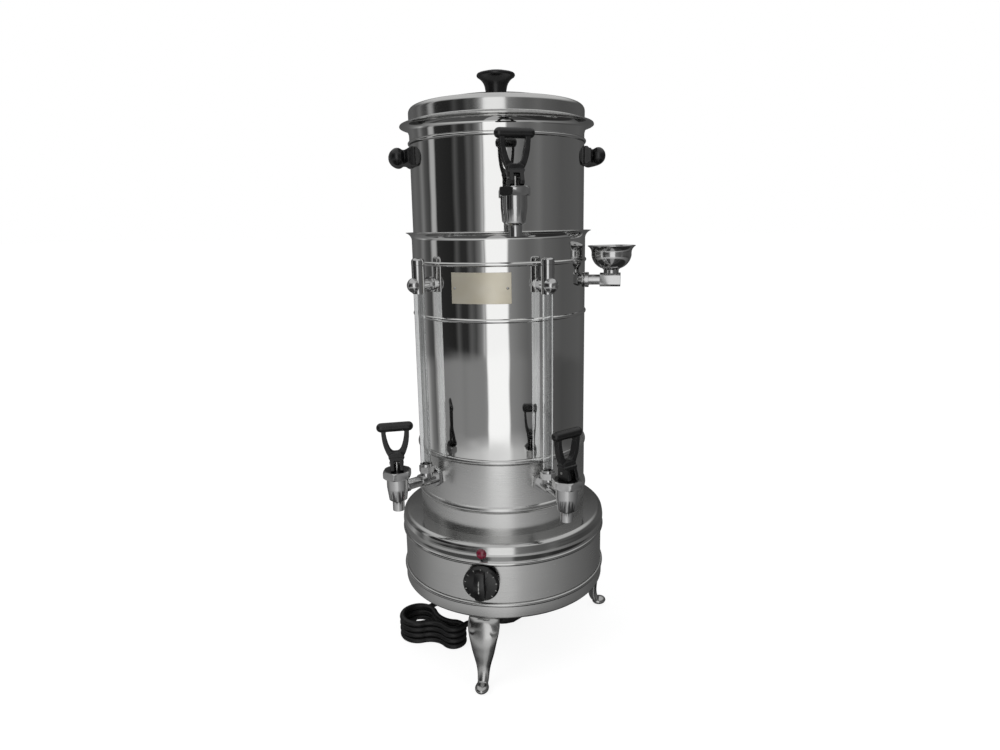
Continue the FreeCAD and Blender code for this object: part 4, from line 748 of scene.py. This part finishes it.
def makeEar(e, node):
    mesh = mergedCopy(node)
    low, high = lowHigh(node)
    middle = Vector((0, 0, (low.z + high.z) / 2)) * mm
    fuller = Matrix.Scale(e["fuller"], 4, (0, 0, 1))
    mesh.transform(Matrix.Translation(middle) @ fuller @ Matrix.Translation(-middle))
    mouldedSkin(node, mesh, e["grid"], e["rounds"])


for node in leg["azimuths"]:
    makeLeg(leg, node)
for node in ear["nodes"]:
    makeEar(ear, node)
print("legs cast, side handles moulded")


# tap handles: phenolic forks moulded in one with their grip, round all over, on the cam foot
tapHandle = {
    "cut": 62,  # heights above the end of the spout
    "neck": (7.2, 56),
    "outer": [(8.2, 62), (10.6, 67), (13.2, 75), (14.6, 84), (15, 95)],
    "window": [(0, 67.4), (3.4, 68.2), (6, 71.5), (8.2, 78), (9.6, 85), (10.2, 92)],
    "depth": 3.6,
    "collar": [(-7, 58), (7, 58), (8, 62), (8, 65), (5, 67), (-5, 67), (-8, 65), (-8, 62)],
    "collarDepth": 5.4,
    "gripHeight": 95,
    "gripRadius": 5.1,
    "gripLength": 39.6,
    "overlap": 0.3,  # of the fork's halves past the middle line
    "grid": 0.4,
    "rounds": 8,
    # degrees round the urn, reach and height of the spout's end, and the handle's turn on its tap
    "taps": {"left": (-37, 154, 207, 60), "right": (37, 154, 207, 11), "upper": (18.3, 136, 501, 5)},
}


# points on a smooth line through corners
def smoothSide(corners, steps=5):
    line = []
    for i in range(len(corners) - 1):
        before = Vector(corners[max(i - 1, 0)])
        start, end = Vector(corners[i]), Vector(corners[i + 1])
        after = Vector(corners[min(i + 2, len(corners) - 1)])
        for k in range(steps):
            t = k / steps
            line.append(0.5 * ((2 * start) + (end - before) * t
                               + (2 * before - 5 * start + 4 * end - after) * t * t
                               + (3 * start - before - 3 * end + after) * t ** 3))
    return line + [Vector(corners[-1])]


# a closed plate from an outline in (x, z), depth each way in y
def addPrism(shape, outline, depth):
    front = [shape.verts.new((p[0], -depth, p[1])) for p in outline]
    back = [shape.verts.new((p[0], depth, p[1])) for p in outline]
    shape.faces.new(front)
    shape.faces.new(list(reversed(back)))
    for i in range(len(outline)):
        j = (i + 1) % len(outline)
        shape.faces.new((front[j], front[i], back[i], back[j]))


# a bar along x with round ends
def addCapsule(shape, height, radius, length, steps=32, bends=8):
    rings = []
    half = length / 2 - radius
    angles = [math.pi / 2 * k / bends for k in range(bends + 1)]
    profile = [(-half - radius * math.cos(angle), radius * math.sin(angle)) for angle in angles]
    profile += [(-x, r) for x, r in reversed(profile)]
    for x, r in profile:
        if r < 1e-6:
            rings.append([shape.verts.new((x, 0, height))])
        else:
            turns = [2 * math.pi * k / steps for k in range(steps)]
            rings.append([shape.verts.new((x, r * math.cos(turn), height + r * math.sin(turn)))
                          for turn in turns])
    joinRings(shape, rings)


def makeTapHandle(h, side):
    azimuth, reach, base, turn = h["taps"][side]
    node = side + "_tap_handle"
    out = math.radians(azimuth)
    place = Matrix.Translation(Vector((math.sin(out) * reach, -math.cos(out) * reach, base)))
    place = place @ Matrix.Rotation(math.radians(azimuth + turn), 4, "Z")
    place = Matrix.Scale(mm, 4) @ place
    shape = bmesh.new()
    shape.from_mesh(mergedCopy(node))
    bmesh.ops.transform(shape, matrix=place.inverted(), verts=shape.verts)
    # the CAD's foot and neck stay, and a finer fork takes the place of all above the cut
    cut = bmesh.ops.bisect_plane(shape, geom=shape.verts[:] + shape.edges[:] + shape.faces[:], dist=1e-4,
                                 plane_co=(0, 0, h["cut"]), plane_no=(0, 0, 1), clear_outer=True)
    edges = [item for item in cut["geom_cut"] if isinstance(item, bmesh.types.BMEdge)]
    bmesh.ops.holes_fill(shape, edges=edges)
    outer = smoothSide([h["neck"]] + h["outer"])
    window = smoothSide(h["window"])
    # each half of the fork is its own plate from the middle line outwards
    for mirror in (1, -1):
        half = [(0, h["neck"][1])] + [(p.x, p.y) for p in outer] + [(p.x, p.y) for p in reversed(window)]
        half = [((x or -h["overlap"]) * mirror, z) for x, z in half]
        addPrism(shape, half, h["depth"])
    addPrism(shape, h["collar"], h["collarDepth"])
    addCapsule(shape, h["gripHeight"], h["gripRadius"], h["gripLength"])
    bmesh.ops.recalc_face_normals(shape, faces=shape.faces)
    bmesh.ops.transform(shape, matrix=place, verts=shape.verts)
    mesh = bpy.data.meshes.new(node)
    shape.to_mesh(mesh)
    shape.free()
    mouldedSkin(node, mesh, h["grid"], h["rounds"])


for side in tapHandle["taps"]:
    makeTapHandle(tapHandle, side)
print("tap handles moulded")


# every other CAD piece: a merged copy with its edges eased as a real one's are, in mm
easedEdge = {"left_tap_spring": 0, "right_tap_spring": 0, "upper_tap_spring": 0, "inner_well": 0,
             "thermostat_knob": 0.5, "others": 0.25}
made = {"tank_shell", "tank_skirt", "pot_shell", "base_pan", "base_wall", "base_cover", "mains_lead",
        "lead_hank", "lid", "lid_knob", "funnel_cup", "left_gauge_glass", "right_gauge_glass",
        "left_tap_handle", "right_tap_handle", "upper_tap_handle", *leg["azimuths"], *ear["nodes"]}


def skinOf(node, edge, sharp=32):
    piece = finishPiece(mergedCopy(node), node + "_skin", node, sharp=sharp)
    if edge:
        ease = piece.modifiers.new("easedEdges", "BEVEL")
        ease.width = edge * mm
        ease.segments = 2
        ease.limit_method = "ANGLE"
        ease.angle_limit = math.radians(sharp)
        ease.harden_normals = True
    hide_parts(node)


for node in sorted(frame["nodes"]):
    if node not in made:
        skinOf(node, easedEdge.get(node, easedEdge["others"]))
print("fittings skinned")


# knob: pale strokes round its rim and a pointer line, pressed in and filled with paint
knobScale = {"marks": 11, "first": 225, "last": -45, "radius": 17.2, "length": 2.6, "width": 0.9,
             "proud": 0.12, "gap": 2.2, "rimHeight": 5.62, "pointerLow": -5, "pointerHigh": 9,
             "pointerWidth": 1.2, "pointerDepth": 0.3, "pointerSteps": 12, "sightFrom": -250}


# strokes spread evenly over an arc, standing on its plane
def scaleTree():
    tree = bpy.data.node_groups.new("knobStrokes", "GeometryNodeTree")
    for name, kind in (("Marks", "NodeSocketInt"), ("First", "NodeSocketFloat"), ("Last", "NodeSocketFloat"),
                       ("Radius", "NodeSocketFloat"), ("Stroke", "NodeSocketVector"),
                       ("Paint", "NodeSocketMaterial")):
        tree.interface.new_socket(name=name, in_out="INPUT", socket_type=kind)
    tree.interface.new_socket(name="Geometry", in_out="OUTPUT", socket_type="NodeSocketGeometry")
    given = addNode(tree, "NodeGroupInput").outputs
    index = addNode(tree, "GeometryNodeInputIndex").outputs[0]
    last = addNode(tree, "ShaderNodeMath", {"operation": "SUBTRACT", 1: 1.0}, {0: given["Marks"]}).outputs[0]
    share = addNode(tree, "ShaderNodeMath", {"operation": "DIVIDE"}, {0: index, 1: last}).outputs[0]
    sweep = addNode(tree, "ShaderNodeMath", {"operation": "SUBTRACT"},
                    {0: given["Last"], 1: given["First"]}).outputs[0]
    angle = addNode(tree, "ShaderNodeMath", {"operation": "MULTIPLY_ADD"},
                    {0: share, 1: sweep, 2: given["First"]}).outputs[0]
    across = addNode(tree, "ShaderNodeMath", {"operation": "COSINE"}, {0: angle}).outputs[0]
    upward = addNode(tree, "ShaderNodeMath", {"operation": "SINE"}, {0: angle}).outputs[0]
    flat = addNode(tree, "ShaderNodeCombineXYZ", {}, {0: across, 1: upward}).outputs[0]
    spot = addNode(tree, "ShaderNodeVectorMath", {"operation": "SCALE"},
                   {0: flat, "Scale": given["Radius"]}).outputs[0]
    points = addNode(tree, "GeometryNodePoints", {}, {"Count": given["Marks"], "Position": spot}).outputs[0]
    turn = addNode(tree, "ShaderNodeCombineXYZ", {}, {2: angle}).outputs[0]
    stroke = addNode(tree, "GeometryNodeMeshCube", {}, {"Size": given["Stroke"]}).outputs[0]
    placed = addNode(tree, "GeometryNodeInstanceOnPoints", {},
                     {"Points": points, "Instance": stroke, "Rotation": turn})
    real = addNode(tree, "GeometryNodeRealizeInstances", {}, {0: placed.outputs[0]})
    painted = addNode(tree, "GeometryNodeSetMaterial", {},
                      {"Geometry": real.outputs[0], "Material": given["Paint"]})
    addNode(tree, "NodeGroupOutput", {}, {0: painted.outputs[0]})
    return tree


# what a tree makes with these inputs, as a plain mesh
def fromTree(tree, inputs):
    holder = bpy.data.objects.new("holder", bpy.data.meshes.new("holder"))
    bpy.context.scene.collection.objects.link(holder)
    modifier = holder.modifiers.new("nodes", "NODES")
    modifier.node_group = tree
    for item in tree.interface.items_tree:
        if item.item_type == "SOCKET" and item.in_out == "INPUT" and item.name in inputs:
            modifier[item.identifier] = inputs[item.name]
    mesh = bpy.data.meshes.new_from_object(holder.evaluated_get(bpy.context.evaluated_depsgraph_get()))
    holder.modifiers.remove(modifier)
    bpy.data.objects.remove(holder)
    return mesh


def makeKnobScale(k):
    low, high = lowHigh("thermostat_knob")
    middle = (low + high) / 2
    rim = base["radius"] + k["gap"] + k["rimHeight"]
    mesh = fromTree(scaleTree(), {
        "Marks": k["marks"], "First": math.radians(k["first"]), "Last": math.radians(k["last"]),
        "Radius": k["radius"] * mm, "Stroke": (k["length"] * mm, k["width"] * mm, k["proud"] * 2 * mm),
        "Paint": whitePaint})
    place = Matrix.Translation(Vector((middle.x, -rim, middle.z)) * mm)
    mesh.transform(place @ Matrix.Rotation(math.pi / 2, 4, "X"))
    finishPiece(mesh, "knob_scale_strokes", "thermostat_knob", material=whitePaint)


# a thin stroke laid on the grip of the knob
def makePointer(k):
    low, high = lowHigh("thermostat_knob")
    middle = (low + high) / 2
    surface = bpy.data.objects["thermostat_knob_skin"]
    shape = bmesh.new()
    rows = []
    half, deep = k["pointerWidth"] / 2, k["pointerDepth"]
    for i in range(k["pointerSteps"] + 1):
        height = middle.z + k["pointerLow"] + (k["pointerHigh"] - k["pointerLow"]) * i / k["pointerSteps"]
        start = Vector((middle.x, k["sightFrom"], height)) * mm
        front = surface.ray_cast(start, Vector((0, 1, 0)))[1].y / mm - k["proud"]
        rows.append([shape.verts.new(Vector((middle.x + side, front + back, height)) * mm)
                     for side, back in ((-half, 0), (half, 0), (half, deep), (-half, deep))])
    joinRings(shape, rows)
    shape.faces.new(list(reversed(rows[0])))
    shape.faces.new(rows[-1])
    bmesh.ops.recalc_face_normals(shape, faces=shape.faces)
    mesh = bpy.data.meshes.new("pointer")
    shape.to_mesh(mesh)
    shape.free()
    finishPiece(mesh, "knob_pointer_line", "thermostat_knob", material=whitePaint)


makeKnobScale(knobScale)
makePointer(knobScale)
print("knob marked")


# pale floor, soft light. Metal sees a studio of pale and dark upright panels all round, as the
# photographed one does: a bright window in front, grey walls and dark corners beside it
studio = {
    "floorSize": 60,
    "floorColor": "#F2F2F2",
    "floorGlow": 1.24,
    "glowShare": 0.7,
    # name, power, size, place in metres
    "lamps": [("keySoftbox", 9, 1.2, (-1.1, -1.2, 1.6)), ("fillSoftbox", 4, 1.4, (1.5, -0.8, 1.1))],
    "aim": (0, 0, 0.35),
    "brightest": 1.35,
    "softLight": 0.55,
    # panels round the urn: degrees from the camera's side, brightness low down, brightness high up
    "panels": [(-180, 0.08, 0.08), (-152, 0.13, 0.12), (-138, 0.2, 0.15), (-124, 0.34, 0.12),
               (-116, 0.5, 0.24), (-108, 0.22, 0.10), (-99, 0.12, 0.06), (-95, 0.34, 0.5), (-89, 0.34, 0.5),
               (-86, 0.24, 0.03), (-60, 0.27, 0.02), (-55, 0.27, 0.10), (-49, 0.25, 0.03), (-42, 0.27, 0.03),
               (-37, 0.27, 0.12), (-31, 0.27, 0.07), (-23, 0.27, 0.24), (-19.5, 0.30, 0.6), (-17.8, 0.4, 0.3),
               (-16.5, 1.3, 1.25), (10.5, 1.3, 1.25), (12, 0.3, 0.3), (26, 0.24, 0.2), (36, 0.17, 0.15),
               (44, 0.14, 0.16), (54, 0.26, 0.19), (62, 0.11, 0.15), (90, 0.08, 0.11), (130, 0.10, 0.12),
               (160, 0.08, 0.08), (180, 0.08, 0.08)],
    # the floor in front, seen in the metal only: degrees, brightness
    "apron": [(-180, 0.1), (-120, 0.2), (-80, 0.46), (-30, 0.68), (-17, 0.85), (10, 0.95), (16, 0.62),
              (40, 0.45), (80, 0.24), (140, 0.1), (180, 0.1)],
    "overhead": 0.75,
    "foot": 0.35,  # share of the wall above, for the shaded floor round the urn
    # upward slopes between which one layer gives way to the next
    "change": {"high": (-0.215, -0.185), "apron": (-0.33, -0.37), "foot": (-0.54, -0.6),
               "overhead": (0.35, 0.7)},
}


def makeStudio(s):
    world = bpy.data.worlds.new("studio")
    bpy.context.scene.world = world
    world.use_nodes = True
    tree = world.node_tree
    tree.nodes.clear()
    direction = addNode(tree, "ShaderNodeTexCoord").outputs["Generated"]
    axes = addNode(tree, "ShaderNodeSeparateXYZ", {}, {0: direction})
    back = addNode(tree, "ShaderNodeMath", {"operation": "MULTIPLY", 1: -1.0}, {0: axes.outputs[1]})
    turn = addNode(tree, "ShaderNodeMath", {"operation": "ARCTAN2"}, {0: axes.outputs[0], 1: back.outputs[0]})
    facing = 0.5 - photoCamera["azimuth"] / 360
    share = addNode(tree, "ShaderNodeMath", {"operation": "MULTIPLY_ADD", 1: 1 / (2 * math.pi), 2: facing},
                    {0: turn.outputs[0]})
    wrapped = addNode(tree, "ShaderNodeMath", {"operation": "FRACT"}, {0: share.outputs[0]})
    bright = s["brightest"]
    rings = {"low": [(angle, low) for angle, low, _ in s["panels"]],
             "high": [(angle, high) for angle, _, high in s["panels"]], "apron": s["apron"]}
    layers = {}
    for name, ring in rings.items():
        stops = [((angle + 180) / 360, (shade / bright,) * 3 + (1,)) for angle, shade in ring]
        layers[name] = addNode(tree, "ShaderNodeValToRGB", {"stops": stops},
                               {"Fac": wrapped.outputs[0]}).outputs[0]
    layers["foot"] = addNode(tree, "ShaderNodeVectorMath", {"operation": "SCALE", "Scale": s["foot"]},
                             {0: layers["low"]}).outputs[0]
    level = s["overhead"] / bright
    layers["overhead"] = addNode(tree, "ShaderNodeCombineColor", {0: level, 1: level, 2: level}).outputs[0]
    room = layers["low"]
    for name, (start, end) in s["change"].items():
        share = addNode(tree, "ShaderNodeMapRange",
                        {"From Min": start, "From Max": end, "interpolation_type": "SMOOTHSTEP"},
                        {"Value": axes.outputs[2]})
        room = addNode(tree, "ShaderNodeMix", {"data_type": "RGBA"},
                       {0: share.outputs[0], 6: room, 7: layers[name]}).outputs[2]
    seen = addNode(tree, "ShaderNodeBackground", {"Strength": bright}, {"Color": room})
    plain = addNode(tree, "ShaderNodeBackground", {"Color": (1, 1, 1, 1), "Strength": 1.0})
    soft = addNode(tree, "ShaderNodeBackground", {"Color": (1, 1, 1, 1), "Strength": s["softLight"]})
    path = addNode(tree, "ShaderNodeLightPath")
    mirrored = addNode(tree, "ShaderNodeMath", {"operation": "MAXIMUM"},
                       {0: path.outputs["Is Glossy Ray"], 1: path.outputs["Is Transmission Ray"]})
    first = addNode(tree, "ShaderNodeMixShader", {},
                    {0: path.outputs["Is Camera Ray"], 1: soft.outputs[0], 2: plain.outputs[0]})
    second = addNode(tree, "ShaderNodeMixShader", {},
                     {0: mirrored.outputs[0], 1: first.outputs[0], 2: seen.outputs[0]})
    addNode(tree, "ShaderNodeOutputWorld", {}, {"Surface": second.outputs[0]})


def makeFloor(s):
    bpy.ops.mesh.primitive_plane_add(size=s["floorSize"])
    floor = bpy.context.object
    floor.name = "studioFloor"
    material = bpy.data.materials.new("paleFloor")
    material.use_nodes = True
    tree = material.node_tree
    tree.nodes.clear()
    matt = addNode(tree, "ShaderNodeBsdfDiffuse", {"Color": hexColor(s["floorColor"])})
    glow = addNode(tree, "ShaderNodeEmission", {"Color": (1, 1, 1, 1), "Strength": s["floorGlow"]})
    path = addNode(tree, "ShaderNodeLightPath")
    share = addNode(tree, "ShaderNodeMath", {"operation": "MULTIPLY", 1: s["glowShare"]},
                    {0: path.outputs["Is Camera Ray"]})
    mixed = addNode(tree, "ShaderNodeMixShader", {},
                    {0: share.outputs[0], 1: matt.outputs[0], 2: glow.outputs[0]})
    addNode(tree, "ShaderNodeOutputMaterial", {}, {"Surface": mixed.outputs[0]})
    floor.data.materials.append(material)
    floor.visible_glossy = False


def addLamp(name, power, size, place, aim):
    data = bpy.data.lights.new(name, "AREA")
    data.energy = power
    data.size = size
    lamp = bpy.data.objects.new(name, data)
    bpy.context.scene.collection.objects.link(lamp)
    lamp.location = place
    lamp.rotation_mode = "QUATERNION"
    lamp.rotation_quaternion = (Vector(aim) - Vector(place)).to_track_quat("-Z", "Y")
    lamp.visible_glossy = False


makeStudio(studio)
makeFloor(studio)
for lamp in studio["lamps"]:
    addLamp(*lamp, studio["aim"])
bpy.context.scene.view_settings.view_transform = "Standard"
print("studio lit")
